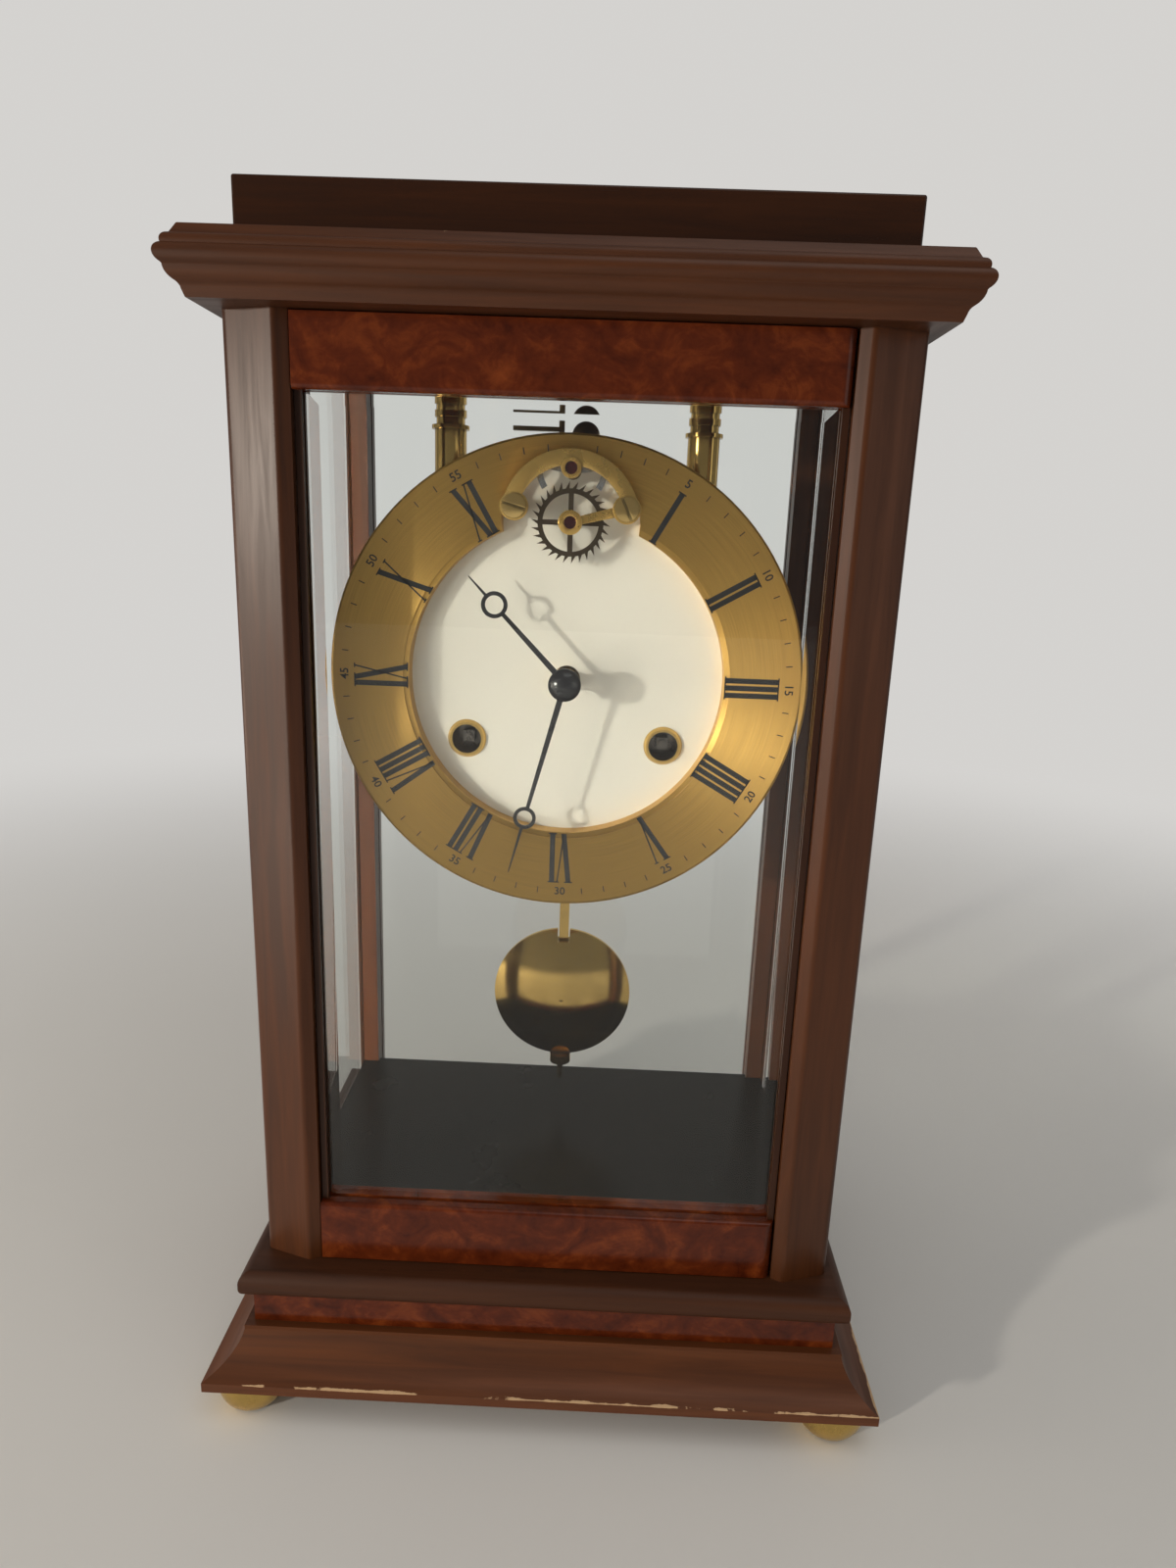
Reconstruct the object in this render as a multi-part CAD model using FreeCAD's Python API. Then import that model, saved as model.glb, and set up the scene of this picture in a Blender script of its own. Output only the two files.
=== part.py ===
import FreeCAD, Part
import math
import os

Vector = FreeCAD.Vector

# Desk pendulum clock, in millimetres.
# +Z is up, the front faces -Y, and the origin is on the table under the middle of the case.
# A place on the movement is (x, z) seen from the front, and a layer is a pair of y values.

# Feet and base
foot_ball_radius = 12.0
foot_ball_drop = 2.6
foot_height = 12.5
foot_inset = 12.6
skirt_edge_height = 3.3
skirt_height = 16.4
skirt_lip = 1.35
cavetto_run = 10.75
cavetto_hollow = 1.5
band_inset = 2.6
band_height = 11.2
base_plate_overhang = 3.7
base_plate_thickness = 8.7
base_plate_round = 3.4

# Front posts, with a slanted outer face and a rounded nose beside the door, and slim rear posts
post_side_inset = 5.7
post_front_inset = 8.7
post_dial_gap = 2.35
post_width = 18.8
post_depth = 20.0
post_slant_width = 15.3
post_slant_setback = 4.9
post_nose_setback = 1.8
post_round = 2.2
rear_post_reveal = 6.2
rear_post_depth = 14.15

# Rails, and the door that fills the front between the posts
rail_setback = 1.1
rail_thickness = 10.7
top_rail_height = 19.5
bottom_rail_height = 21.0
side_rail_setback = 4.65
side_rail_low_height = 9.0
side_rail_top_height = 5.0
rail_round = 1.4
door_gap = 0.4
door_stile_width = 2.0
door_stile_depth = 6.0
hinge_pin_inset = 3.0
hinge_pin_radius = 1.2
hinge_pin_bite = 7.0
floor_rise = 16.6
fit_gap = 0.2

# Bevelled glass panes, held by their thin edges
pane_thickness = 3.2
pane_edge = 2.0
pane_bevel = 5.6
pane_setback = 3.2
side_pane_setback = 1.1
pane_bite = 1.2
pane_rail_bite = 2.0

# Cornice and top block
cornice_inset = 4.1
cornice_overhang = 5.4
cornice_height = 16.7
block_inset = 9.4
block_height = 14.5
block_round = 0.7

# Dial
dial_setback = 23.9
dial_radius = 72.0
dial_opening_radius = 48.3
dial_thickness = 1.3
dial_rim_width = 1.6
dial_rim_drop = 0.5
centre_recess = 6.0
centre_dial_thickness = 1.0
centre_dial_lap = 1.4
bite_radius = 20.5
dial_foot_radius = 1.6
dial_foot_half_spacing = 33.0
dial_foot_rise = 27.0
dial_foot_low_half_spacing = 10.0
dial_foot_drop = 42.0
winding_half_spacing = 31.0
winding_drop = 20.0
winding_hole_radius = 4.6
grommet_radius = 6.1
grommet_thickness = 1.2

# Hands, with their turns from the top as shares of the dial
minute_turn_share = 0.54167
hour_turn_share = 0.87847
hand_thickness = 0.5
hour_hand_reach = 42.5
hour_ring_reach = 31.3
hour_ring_radius = 3.95
hour_ring_wall = 1.2
minute_hand_reach = 61.6
minute_ring_reach = 43.2
minute_ring_radius = 3.5
minute_ring_wall = 1.1
hand_root_half_width = 0.95
hand_neck_half_width = 0.55
hand_tip_half_width = 0.15
hour_hand_stand = 4.6
minute_hand_stand = 7.4
hub_radius = 4.2
hand_nut_radius = 4.9
hand_nut_height = 4.6
hand_nut_flange = 0.8
hand_nut_groove = 0.5
hand_nut_step = 0.6
hand_nut_thread = 1.8

# Movement frame
plate_setback = 10.0
plate_thickness = 1.6
plate_gap = 22.0
plate_half_width = 57.0
plate_rise = 52.0
plate_drop = 52.0
plate_corner = 14.0
pillar_radius = 2.5
pillar_low_half_spacing = 16.0
pillar_low_drop = 47.0
pillar_high_half_spacing = 22.0
pillar_high_rise = 46.0
pillar_nut_radius = 3.0
pillar_nut_height = 2.4
hanger_half_spacing = 40.0
hanger_width = 12.0
hanger_height = 6.0
hanger_drop = 3.5
hanging_pillar_radius = 5.0
hanging_collar_radius = 6.3
hanging_collar_height = 7.0
hanging_ring_radius = 5.9
hanging_ring_height = 1.2
hanging_ring_drop = 23.0
hanging_ring_gap = 2.4
hanging_neck_radius = 4.5

# Arbors and running fits
running_gap = 0.05
hinge_running_gap = 0.09
pivot_radius = 0.7
arbor_radius = 1.1
centre_arbor_radius = 1.2
cannon_wall = 0.6
hour_pipe_wall = 0.8

# Escapement in the dial's opening
escape_rise = 46.9
escape_teeth = 30
escape_tip_radius = 11.7
escape_root_radius = 9.7
escape_rim_radius = 8.3
escape_hub_radius = 2.0
escape_spoke = 1.5
escape_thickness = 1.0
escape_tooth_shares = (-0.20, -0.30, 0.34)
pallet_span_teeth = 6.5
pallet_band = 1.8
pallet_clearance = 0.75
pallet_beam = 3.0
pallet_hub_radius = 2.6
pallet_thickness = 1.8
bridge_outer_radius = 20.3
bridge_inner_radius = 15.8
bridge_thickness = 2.2
bridge_stand = 3.0
bridge_boss_radius = 4.1
bridge_boss_half_spacing = 16.3
bridge_boss_rise = 4.1
bridge_post_radius = 2.8
cock_thickness = 1.2
cock_half_width = 1.1
cock_flare_share = 1.4
escape_setting_radius = 3.5
pallet_setting_radius = 2.9
setting_height = 0.8
jewel_radius = 1.8
jewel_thickness = 0.9
jewel_drop = 0.3
screw_head_radius = 3.4
screw_head_height = 1.3
screw_slot = 0.8
screw_slot_depth = 0.6
screw_slot_degrees = (115, 165)

# Pendulum and its suspension behind the movement
pendulum_setback = 9.1
pendulum_length = 189.6
pendulum_rod_width = 3.6
pendulum_rod_thickness = 1.0
bob_radius = 26.1
bob_half_thickness = 7.5
bob_rim = 0.7
bob_notch_width = 4.6
bob_notch_depth = 4.5
bob_floor_gap = 21.36
rating_screw_radius = 1.0
rating_screw_reach = 37.0
rating_nut_radius = 4.0
rating_nut_height = 3.4
rating_neck_height = 2.0
rating_neck_low_radius = 1.4
rating_neck_top_radius = 2.4
spring_width = 3.0
spring_thickness = 0.2
spring_length = 9.0
spring_sway = 0.35
spring_bite = 1.0
suspension_block_width = 5.0
suspension_block_height = 4.0
crutch_gap = 0.3
crutch_reach = 34.0
crutch_half_width = 1.0
crutch_thickness = 1.2
fork_wall = 1.0
cock_plate_half_width = 9.0
cock_plate_top_half_width = 7.5
cock_plate_low = 40.0
cock_plate_thickness = 2.0
top_peg_radius = 0.95
top_peg_place = -5.6
top_peg_length = 9.5
top_peg_bite = 4.0
top_peg_headroom = 17.65
top_dome_radius = 4.6
top_dome_place = 2.4
top_dome_lift = 5.0
top_lever_reach = 16.0
top_lever_thickness = 1.4
top_lever_drop = 3.4

# Bell and hammer
bell_radius = 29.0
bell_depth = 14.0
bell_wall = 1.4
bell_setback = 14.5
bell_glass_gap = 8.7
bell_stand_radius = 2.5
bell_stand_place = 40.0
bell_arm_half_width = 3.0
bell_arm_thickness = 1.6
bell_stud_radius = 1.5
bell_nut_radius = 3.6
bell_nut_height = 2.4
hammer_head_radius = 3.4
hammer_head_length = 6.0
hammer_head_lap = 1.5
hammer_gap = 1.0
hammer_bearing = 158.0
hammer_stem_radius = 1.2
hammer_arm_half_width = 1.5
hammer_arm_thickness = 1.4
hammer_tail_reach = 15.2

# Barrels, winding arbors, ratchets and clicks
barrel_radius = 20.5
barrel_length = 11.6
winding_arbor_radius = 3.0
winding_square = 3.6
winding_square_depth = 4.0
winding_point_radius = 1.2
winding_point_length = 0.6
ratchet_teeth = 16
ratchet_tip_radius = 8.6
ratchet_root_radius = 7.2
ratchet_thickness = 1.6
ratchet_fall_share = 0.12
click_pivot_reach = 15.5
click_bearing = 118.0
click_thickness = 1.4
click_half_width = 1.5
click_clearance = 0.3
click_boss_radius = 1.8
click_tip_degrees = 34
click_heel_degrees = 38
click_near_degrees = 140
click_far_degrees = 20

# Tooth counts of the three trains
great_teeth = 72
second_pinion_teeth = 12
second_teeth = 60
centre_pinion_teeth = 10
centre_teeth = 72
third_pinion_teeth = 6
third_teeth = 69
escape_pinion_teeth = 6
cannon_teeth = 12
minute_wheel_teeth = 36
minute_pinion_teeth = 10
hour_wheel_teeth = 40
warning_pinion_teeth = 8
warning_teeth = 48
fly_pinion_teeth = 8
pin_count = 8
pin_radius = 0.5
pin_ring_share = 0.925
pin_turn_share = 0.5
fly_reach = 5.6
fly_thickness = 0.6
minute_wheel_drop = 12.0

# Wheel tooth and pinion leaf, as shares of the tooth pitch and of the module
tip_share = 0.55
root_share = 0.95
tooth_foot_share = 0.30
leaf_tip_share = 0.50
leaf_root_share = 1.05
leaf_foot_share = 0.12
leaf_crest_share = 0.08
rim_share = 2.6
hub_share = 0.22
spoke_share = 0.13

# Arbor places as shares of the winding place, and of the escape arbor's rise for the third wheel
second_place_shares = (0.790, -0.392)
pin_place_shares = (-0.968, -0.425)
warning_place_shares = (-1.161, -1.220)
fly_place_shares = (-1.0, -1.80)
hammer_place_shares = (-1.452, -1.80)
third_place_shares = (-0.151, 0.528)

# Layers between the plates as shares of their gap, from the front plate
great_layer_shares = (0.05, 0.13)
second_pinion_layer_shares = (0.04, 0.15)
drum_start_share = 0.14
second_layer_shares = (0.73, 0.78)
centre_pinion_layer_shares = (0.71, 0.80)
centre_layer_shares = (0.86, 0.91)
third_pinion_layer_shares = (0.84, 0.93)
third_layer_shares = (0.46, 0.51)
escape_pinion_layer_shares = (0.44, 0.53)
pin_layer_shares = (0.73, 0.78)
pin_reach_share = 0.85
warning_pinion_layer_shares = (0.71, 0.80)
warning_layer_shares = (0.58, 0.63)
fly_pinion_layer_shares = (0.56, 0.65)
fly_layer_shares = (0.10, 0.42)
tail_layer_shares = (0.81, 0.845)

# Motion work layers as shares of the space between the front plate and the centre dial
cannon_layer_shares = (0.08, 0.24)
minute_wheel_layer_shares = (0.09, 0.22)
minute_pinion_layer_shares = (0.26, 0.50)
hour_wheel_layer_shares = (0.30, 0.44)
ratchet_start_share = 0.06

# Outline of the cornice moulding: shares of its overhang and of its height
cornice_shares = [
    (0.00, 0.00), (0.12, 0.11), ((0.20, 0.17), (0.34, 0.21)), ((0.55, 0.27), (0.70, 0.40)),
    (0.76, 0.42), ((1.00, 0.56), (0.78, 0.68)), (0.72, 0.69), ((0.70, 0.78), (0.56, 0.83)),
    (0.40, 0.85), (0.17, 0.985), (0.13, 1.00)]

# Worked-out works: the pendulum sets their height, and the bell their depth
pallet_angle = math.pi * pallet_span_teeth / escape_teeth
pallet_rise = escape_rise + escape_tip_radius / math.cos(pallet_angle)
bob_z = pallet_rise - pendulum_length
cock_top = pallet_rise + spring_length / 2 + suspension_block_height
plates_depth = plate_gap + 2 * plate_thickness
works_depth = centre_recess + plate_setback + plates_depth + bell_setback + bell_depth + bell_nut_height
hand_centre_rise = floor_rise + bob_floor_gap + bob_radius - bob_z
post_height = hand_centre_rise + cock_top + top_peg_length + top_peg_headroom

# Worked-out planes of the case, from the works outwards
skirt_low = foot_height
band_low = skirt_low + skirt_height
base_plate_low = band_low + band_height
case_low = base_plate_low + base_plate_thickness
case_high = case_low + post_height
cornice_high = case_high + cornice_height
rail_outer = (dial_setback + works_depth + bell_glass_gap + pane_thickness + pane_setback) / 2
rail_inner = rail_outer - rail_thickness
post_front = rail_outer + rail_setback
post_back = post_front - post_depth
post_inner = dial_radius + post_dial_gap
post_outer = post_inner + post_width
base_plate_half_width = post_outer + post_side_inset
band_half_width = base_plate_half_width - base_plate_overhang
skirt_half_width = band_half_width + band_inset + cavetto_run
depth_step = base_plate_half_width - post_front - post_front_inset
skirt_half_depth = skirt_half_width - depth_step
side_rail_outer = post_outer - side_rail_setback
side_pane_reach = side_rail_outer - side_pane_setback - pane_thickness
front_pane_reach = rail_outer - pane_setback - pane_thickness
rear_post_inner = side_pane_reach - rear_post_reveal
rear_post_front = post_front - rear_post_depth
side_half_length = (post_back + rear_post_front) / 2
side_middle = (rear_post_front - post_back) / 2
door_low_high = case_low + bottom_rail_height
door_top_low = case_high - top_rail_height
side_low_high = case_low + side_rail_low_height
side_top_low = case_high - side_rail_top_height
door_half_width = post_inner - door_gap
door_pane_half_width = door_half_width - door_stile_width + pane_bite
side_pane_half_width = side_half_length + pane_bite
rear_pane_half_width = rear_post_inner + pane_bite
pin_x = door_half_width - hinge_pin_inset
pin_y = hinge_pin_inset - rail_outer
floor_high = case_low + floor_rise

# Worked-out planes of the movement, counted from front to back
dial_front = dial_setback - rail_outer
dial_back = dial_front + dial_thickness
centre_front = dial_front + centre_recess
centre_back = centre_front + centre_dial_thickness
front_plate_front = centre_front + plate_setback
front_plate_back = front_plate_front + plate_thickness
back_plate_front = front_plate_back + plate_gap
back_plate_back = back_plate_front + plate_thickness
plate_middle = (front_plate_back + back_plate_front) / 2
pendulum_y = back_plate_back + pendulum_setback
bell_mouth = back_plate_back + bell_setback
hub_z = case_low + hand_centre_rise
work_depth = front_plate_front - centre_back

# Worked-out places, (x, z) from the hand centre
hub = (0, 0)
going_place = (winding_half_spacing, -winding_drop)
strike_place = (-winding_half_spacing, -winding_drop)


def winding_share(shares):
    return (winding_half_spacing * shares[0], -winding_drop * shares[1])


second_place = winding_share(second_place_shares)
pin_place = winding_share(pin_place_shares)
warning_place = winding_share(warning_place_shares)
fly_place = winding_share(fly_place_shares)
hammer_place = winding_share(hammer_place_shares)
third_place = (escape_rise * third_place_shares[0], escape_rise * third_place_shares[1])
escape_place = (0, escape_rise)
minute_wheel_place = (0, -minute_wheel_drop)
pallet_place = (0, pallet_rise)


# Helpers
def box(x0, x1, y0, y1, z0, z1):
    return Part.makeBox(x1 - x0, y1 - y0, z1 - z0, Vector(x0, y0, z0))


def rod(place, radius, y0, y1):
    """Cylinder along Y at a place on the movement."""
    return Part.makeCylinder(radius, y1 - y0, Vector(place[0], y0, hub_z + place[1]), Vector(0, 1, 0))


def column(x, y, radius, z0, z1):
    return Part.makeCylinder(radius, z1 - z0, Vector(x, y, z0))


def front_plane(y):
    return lambda point: Vector(point[0], y, point[1])


def movement_plane(y):
    return lambda point: Vector(point[0], y, hub_z + point[1])


def side_plane(x):
    return lambda point: Vector(x, point[0], point[1])


def floor_plane(z):
    return lambda point: Vector(point[0], point[1], z)


def runs(path):
    """Straight runs and arcs: a step is a point, or a pair (point on the arc, end of the arc)."""
    found = []
    here = path[0]
    for step in path[1:]:
        curved = isinstance(step[0], tuple)
        through = step[0] if curved else None
        end = step[1] if curved else step
        found.append((here, through, end))
        here = end
    return found


def mirrored(found):
    def flip(point):
        return None if point is None else (-point[0], point[1])
    return [(flip(end), flip(through), flip(start)) for start, through, end in reversed(found)]


def closed_face(found, lift):
    edges = []
    for index, (start, through, end) in enumerate(found):
        if through is None:
            edges.append(Part.makeLine(lift(start), lift(end)))
        else:
            edges.append(Part.Arc(lift(start), lift(through), lift(end)).toShape())
        following = found[(index + 1) % len(found)][0]
        if math.dist(end, following) > 0:
            edges.append(Part.makeLine(lift(end), lift(following)))
    return Part.Face(Part.Wire(edges))


def sheet(path, y0, y1):
    """Flat piece of the movement, cut to a closed outline."""
    return closed_face(runs(path), movement_plane(y0)).extrude(Vector(0, y1 - y0, 0))


def revolved(path, place, y0):
    """Turned piece of the movement: the path gives (radius, y from y0)."""
    face = closed_face(runs(path), lambda point: Vector(place[0] + point[0], y0 + point[1], hub_z + place[1]))
    return face.revolve(Vector(place[0], 0, hub_z + place[1]), Vector(0, 1, 0), 360)


def crown(radius, edge, top):
    """Arc centred on the axis, from (radius, edge) to (0, top)."""
    rise = top - edge
    bend = (radius**2 + rise**2) / (2 * rise)
    half = radius / 2
    return ((half, top - bend + math.copysign(math.sqrt(bend**2 - half**2), rise)), (0, top))


def cap(radius, edge, top, place, y0):
    """Solid cap of a ball, from a round edge to its top."""
    return revolved([(0, edge), (radius, edge), crown(radius, edge, top), (0, edge)], place, y0)


def polar(place, radius, degrees):
    turn = math.radians(degrees)
    return (place[0] + radius * math.cos(turn), place[1] + radius * math.sin(turn))


def fused(pieces):
    return pieces[0].multiFuse(pieces[1:]).removeSplitter()


def cut_by(shape, tools):
    return shape.cut(Part.makeCompound(tools))


def group(solids):
    return Part.makeCompound(solids)


def both_sides(shape):
    return [shape, shape.mirror(Vector(0, 0, 0), Vector(1, 0, 0))]


def four_corners(shape):
    left_and_right = both_sides(shape)
    return left_and_right + [piece.mirror(Vector(0, 0, 0), Vector(0, 1, 0)) for piece in left_and_right]


def rounded_along_x(shape, radius, corners):
    """Rounds the long edges that run along X through the given (y, z) corners."""
    chosen = []
    for edge in shape.Edges:
        first, last = edge.Vertexes[0].Point, edge.Vertexes[-1].Point
        along = abs(first.y - last.y) + abs(first.z - last.z) < fit_gap / 2
        near = min(abs(first.y - y) + abs(first.z - z) for y, z in corners) < fit_gap / 2
        if along and near:
            chosen.append(edge)
    return shape.makeFillet(radius, chosen)


def rounded_upright(shape, radius, corners):
    """Rounds the upright edges through the given (x, y) corners."""
    chosen = []
    for edge in shape.Edges:
        first, last = edge.Vertexes[0].Point, edge.Vertexes[-1].Point
        upright = abs(first.x - last.x) + abs(first.y - last.y) < fit_gap / 2
        near = min(abs(first.x - x) + abs(first.y - y) for x, y in corners) < fit_gap / 2
        if upright and near:
            chosen.append(edge)
    return shape.makeFillet(radius, chosen)


def moulded_slab(profile, half_width, half_depth):
    """Slab whose four edges carry one profile of (overhang, z), mitred at the corners."""
    def section(half, lift):
        def outward(point):
            return (half + point[0], point[1])
        side = [(outward(a), b and outward(b), outward(c)) for a, b, c in runs(profile)]
        return closed_face(side + mirrored(side), lift)
    reach = 2 * half_width + half_depth
    along_y = section(half_width, front_plane(-reach)).extrude(Vector(0, 2 * reach, 0))
    along_x = section(half_depth, side_plane(-reach)).extrude(Vector(2 * reach, 0, 0))
    return along_y.common(along_x)


def layer(shares):
    """Layer between the plates."""
    return [front_plate_back + plate_gap * share for share in shares]


def work_layer(shares):
    """Layer in front of the front plate, the larger share lying further forward."""
    return [front_plate_front - work_depth * share for share in reversed(shares)]


# Toothed pieces
def distance(a, b):
    return math.dist(a, b)


def bearing(a, b):
    return math.atan2(b[1] - a[1], b[0] - a[0])


def module_of(a, b, teeth_a, teeth_b):
    return 2 * distance(a, b) / (teeth_a + teeth_b)


def meshed_turn(a, b, teeth_a, teeth_b, turn_a):
    """Turn of the gear at b, so that its gap faces the tooth of the gear at a."""
    line = bearing(a, b)
    return line + math.pi + math.pi / teeth_b - (turn_a - line) * teeth_a / teeth_b


def toothed_disc(place, teeth, tooth, turn, y0, y1):
    """Disc with teeth: tooth lists (share of the pitch, radius), from one gap to the next."""
    points = []
    for index in range(teeth):
        for share, radius in tooth:
            angle = turn + 2 * math.pi * (index + share) / teeth
            points.append((place[0] + radius * math.cos(angle), place[1] + radius * math.sin(angle)))
    return sheet(points + [points[0]], y0, y1)


def wheel(place, teeth, module, turn, y0, y1, spokes):
    pitch = module * teeth / 2
    foot = (tooth_foot_share, pitch - root_share * module)
    tooth = [(-foot[0], foot[1]), (0, pitch + tip_share * module), foot]
    disc = toothed_disc(place, teeth, tooth, turn, y0, y1)
    rim = pitch - rim_share * module
    return cut_by(disc, windows(place, rim, hub_share * pitch, spoke_share * pitch, spokes, y0, y1))


def windows(place, rim, hub_radius_here, spoke, spokes, y0, y1):
    ring = rod(place, rim, y0, y1).cut(rod(place, hub_radius_here, y0, y1))
    bars = []
    for index in range(spokes):
        bar = box(place[0], place[0] + rim + spoke, y0, y1, hub_z + place[1] - spoke / 2,
                  hub_z + place[1] + spoke / 2)
        bar.rotate(Vector(place[0], 0, hub_z + place[1]), Vector(0, 1, 0), 360 * index / spokes)
        bars.append(bar)
    return cut_by(ring, bars).Solids


def pinion(place, leaves, module, turn, y0, y1):
    pitch = module * leaves / 2
    root = pitch - leaf_root_share * module
    tip = pitch + leaf_tip_share * module
    foot, crest = leaf_foot_share, leaf_crest_share
    leaf = [(-foot, root), (-crest, tip), (crest, tip), (foot, root)]
    return toothed_disc(place, leaves, leaf, turn, y0, y1)


def arbor(place, radius):
    """Arbor between the plates, with a pivot in each plate."""
    start, end = front_plate_back + running_gap, back_plate_front - running_gap
    pivots = rod(place, pivot_radius, front_plate_front, back_plate_back)
    return fused([rod(place, radius, start, end), pivots])


def pivot_holes(places):
    return [rod(place, pivot_radius + running_gap, front_plate_front, back_plate_back) for place in places]


# Base and feet
def feet():
    ball = foot_ball_radius
    drop = foot_ball_drop
    flat = math.sqrt(ball**2 - (foot_height - drop)**2)
    top = math.sqrt(ball**2 - drop**2)
    path = [(0, 0), (flat, 0), ((ball, foot_height - drop), (top, foot_height)), (0, foot_height), (0, 0)]
    foot = closed_face(runs(path), front_plane(0)).revolve(Vector(0, 0, 0), Vector(0, 0, 1), 360)
    foot.translate(Vector(skirt_half_width - foot_inset, skirt_half_depth - foot_inset, 0))
    return group(four_corners(foot))


def base_skirt():
    edge_high = skirt_low + skirt_edge_height
    curve_high = band_low - skirt_lip
    middle = (-cavetto_run / 2 - cavetto_hollow, (edge_high + curve_high) / 2 - cavetto_hollow)
    profile = [
        (0, skirt_low), (0, edge_high), (middle, (-cavetto_run, curve_high)), (-cavetto_run, band_low)]
    return moulded_slab(profile, skirt_half_width, skirt_half_depth)


def base_band():
    half_depth = band_half_width - depth_step
    return box(-band_half_width, band_half_width, -half_depth, half_depth, band_low, base_plate_low)


def base_plate():
    round_middle = base_plate_round * (1 - math.sqrt(0.5))
    low, high = base_plate_low, case_low
    profile = [
        (-base_plate_round, low), ((-round_middle, low + round_middle), (0, low + base_plate_round)),
        (0, high - base_plate_round), ((-round_middle, high - round_middle), (-base_plate_round, high))]
    slab = moulded_slab(profile, base_plate_half_width, base_plate_half_width - depth_step)
    return slab.cut(column(pin_x, pin_y, hinge_pin_radius, case_low - hinge_pin_bite, case_low))


def floor_board():
    """Board that fills the case's floor, with a tongue to the door and one to the rear rail."""
    front = pin_y + math.hypot(hinge_pin_inset, rail_thickness - hinge_pin_inset) + door_gap
    wide = side_pane_reach - fit_gap
    narrow = post_inner - fit_gap
    rear = rear_post_inner - fit_gap
    return fused([
        box(-wide, wide, -post_back + fit_gap, rear_post_front - fit_gap, case_low, floor_high),
        box(-narrow, narrow, front, 0, case_low, floor_high),
        box(-rear, rear, 0, rail_inner - fit_gap, case_low, floor_high)])


# Case
def front_posts():
    nose = post_outer - post_slant_width
    corners = [
        (post_inner, -post_front + post_nose_setback), (nose, -post_front),
        (post_outer, -post_front + post_slant_setback), (post_outer, -post_back), (post_inner, -post_back)]
    outline = runs(corners + [corners[0]])
    block = closed_face(outline, floor_plane(case_low)).extrude(Vector(0, 0, post_height))
    post = rounded_upright(block, post_round, corners[1:3])
    return group([cut_by(piece, case_pane_seats()) for piece in both_sides(post)])


def rear_posts():
    block = box(rear_post_inner, side_rail_outer, rear_post_front, post_front, case_low, case_high)
    post = rounded_upright(block, rail_round, [(side_rail_outer, post_front)])
    return group([cut_by(piece, case_pane_seats()) for piece in both_sides(post)])


def placed(shape, facing, reach, along):
    """Turns a piece made facing the front to the side or the back, moves it out, and then along Y."""
    shape.rotate(Vector(0, 0, 0), Vector(0, 0, 1), facing)
    outward = FreeCAD.Rotation(Vector(0, 0, 1), facing).multVec(Vector(0, -reach, 0))
    shape.translate(outward + Vector(0, along, 0))
    return shape


def pane(half_width, opening_low, opening_high):
    """Pane with its back at y = 0 and its bevels at the front."""
    low, high = opening_low - pane_rail_bite, opening_high + pane_rail_bite
    face = pane_edge - pane_thickness
    flat = half_width - pane_bevel
    across = [(-half_width, 0), (half_width, 0), (half_width, -pane_edge), (flat, -pane_thickness),
              (-flat, -pane_thickness), (-half_width, -pane_edge), (-half_width, 0)]
    upright = [(0, low), (0, high), (-pane_edge, high), (face - pane_edge, high - pane_bevel),
               (face - pane_edge, low + pane_bevel), (-pane_edge, low), (0, low)]
    first = closed_face(runs(across), floor_plane(low)).extrude(Vector(0, 0, high - low))
    second = closed_face(runs(upright), side_plane(-half_width)).extrude(Vector(2 * half_width, 0, 0))
    return first.common(second)


def pane_seat(half_width, opening_low, opening_high):
    """Groove for a pane's edge, deep enough for the bevel's rise at the groove's mouth."""
    low, high = opening_low - pane_rail_bite - fit_gap, opening_high + pane_rail_bite + fit_gap
    wide = half_width + fit_gap
    rise = (pane_thickness - pane_edge) * pane_rail_bite / pane_bevel
    return box(-wide, wide, -pane_edge - rise - fit_gap, fit_gap, low, high)


def on_three_sides(made):
    """Places what is made for the two sides and the back."""
    return [
        placed(made(side_pane_half_width, side_low_high, side_top_low), 90, side_pane_reach, side_middle),
        placed(made(side_pane_half_width, side_low_high, side_top_low), -90, side_pane_reach, side_middle),
        placed(made(rear_pane_half_width, side_low_high, side_top_low), 180, front_pane_reach, 0)]


def case_pane_seats():
    return on_three_sides(pane_seat)


def case_glasses():
    return group(on_three_sides(pane))


def rail(half_length, thickness, low, high, bevelled_high):
    """Rail facing the front with its face at y = 0, its glass-side face edge rounded."""
    bar = box(-half_length, half_length, 0, thickness, low, high)
    return rounded_along_x(bar, rail_round, [(0, high if bevelled_high else low)])


def case_rails():
    thin = side_rail_outer - side_pane_reach
    pieces = []
    for facing, half_length, thickness, reach, along in [
            (90, side_half_length, thin, side_rail_outer, side_middle),
            (-90, side_half_length, thin, side_rail_outer, side_middle),
            (180, rear_post_inner, rail_thickness, rail_outer, 0)]:
        low_rail = rail(half_length, thickness, case_low, side_low_high, True)
        top_rail = rail(half_length, thickness, side_top_low, case_high, False)
        pieces.append(placed(low_rail, facing, reach, along))
        pieces.append(placed(top_rail, facing, reach, along))
    return group([cut_by(piece, case_pane_seats()) for piece in pieces])


def cornice():
    profile = []
    for step in cornice_shares:
        if isinstance(step[0], tuple):
            profile.append(tuple(cornice_point(shares) for shares in step))
        else:
            profile.append(cornice_point(step))
    half_width = post_outer + cornice_inset
    slab = moulded_slab(profile, half_width, half_width - depth_step)
    return slab.cut(column(pin_x, pin_y, hinge_pin_radius, case_high, case_high + hinge_pin_bite))


def cornice_point(shares):
    return (cornice_overhang * shares[0], case_high + cornice_height * shares[1])


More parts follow.
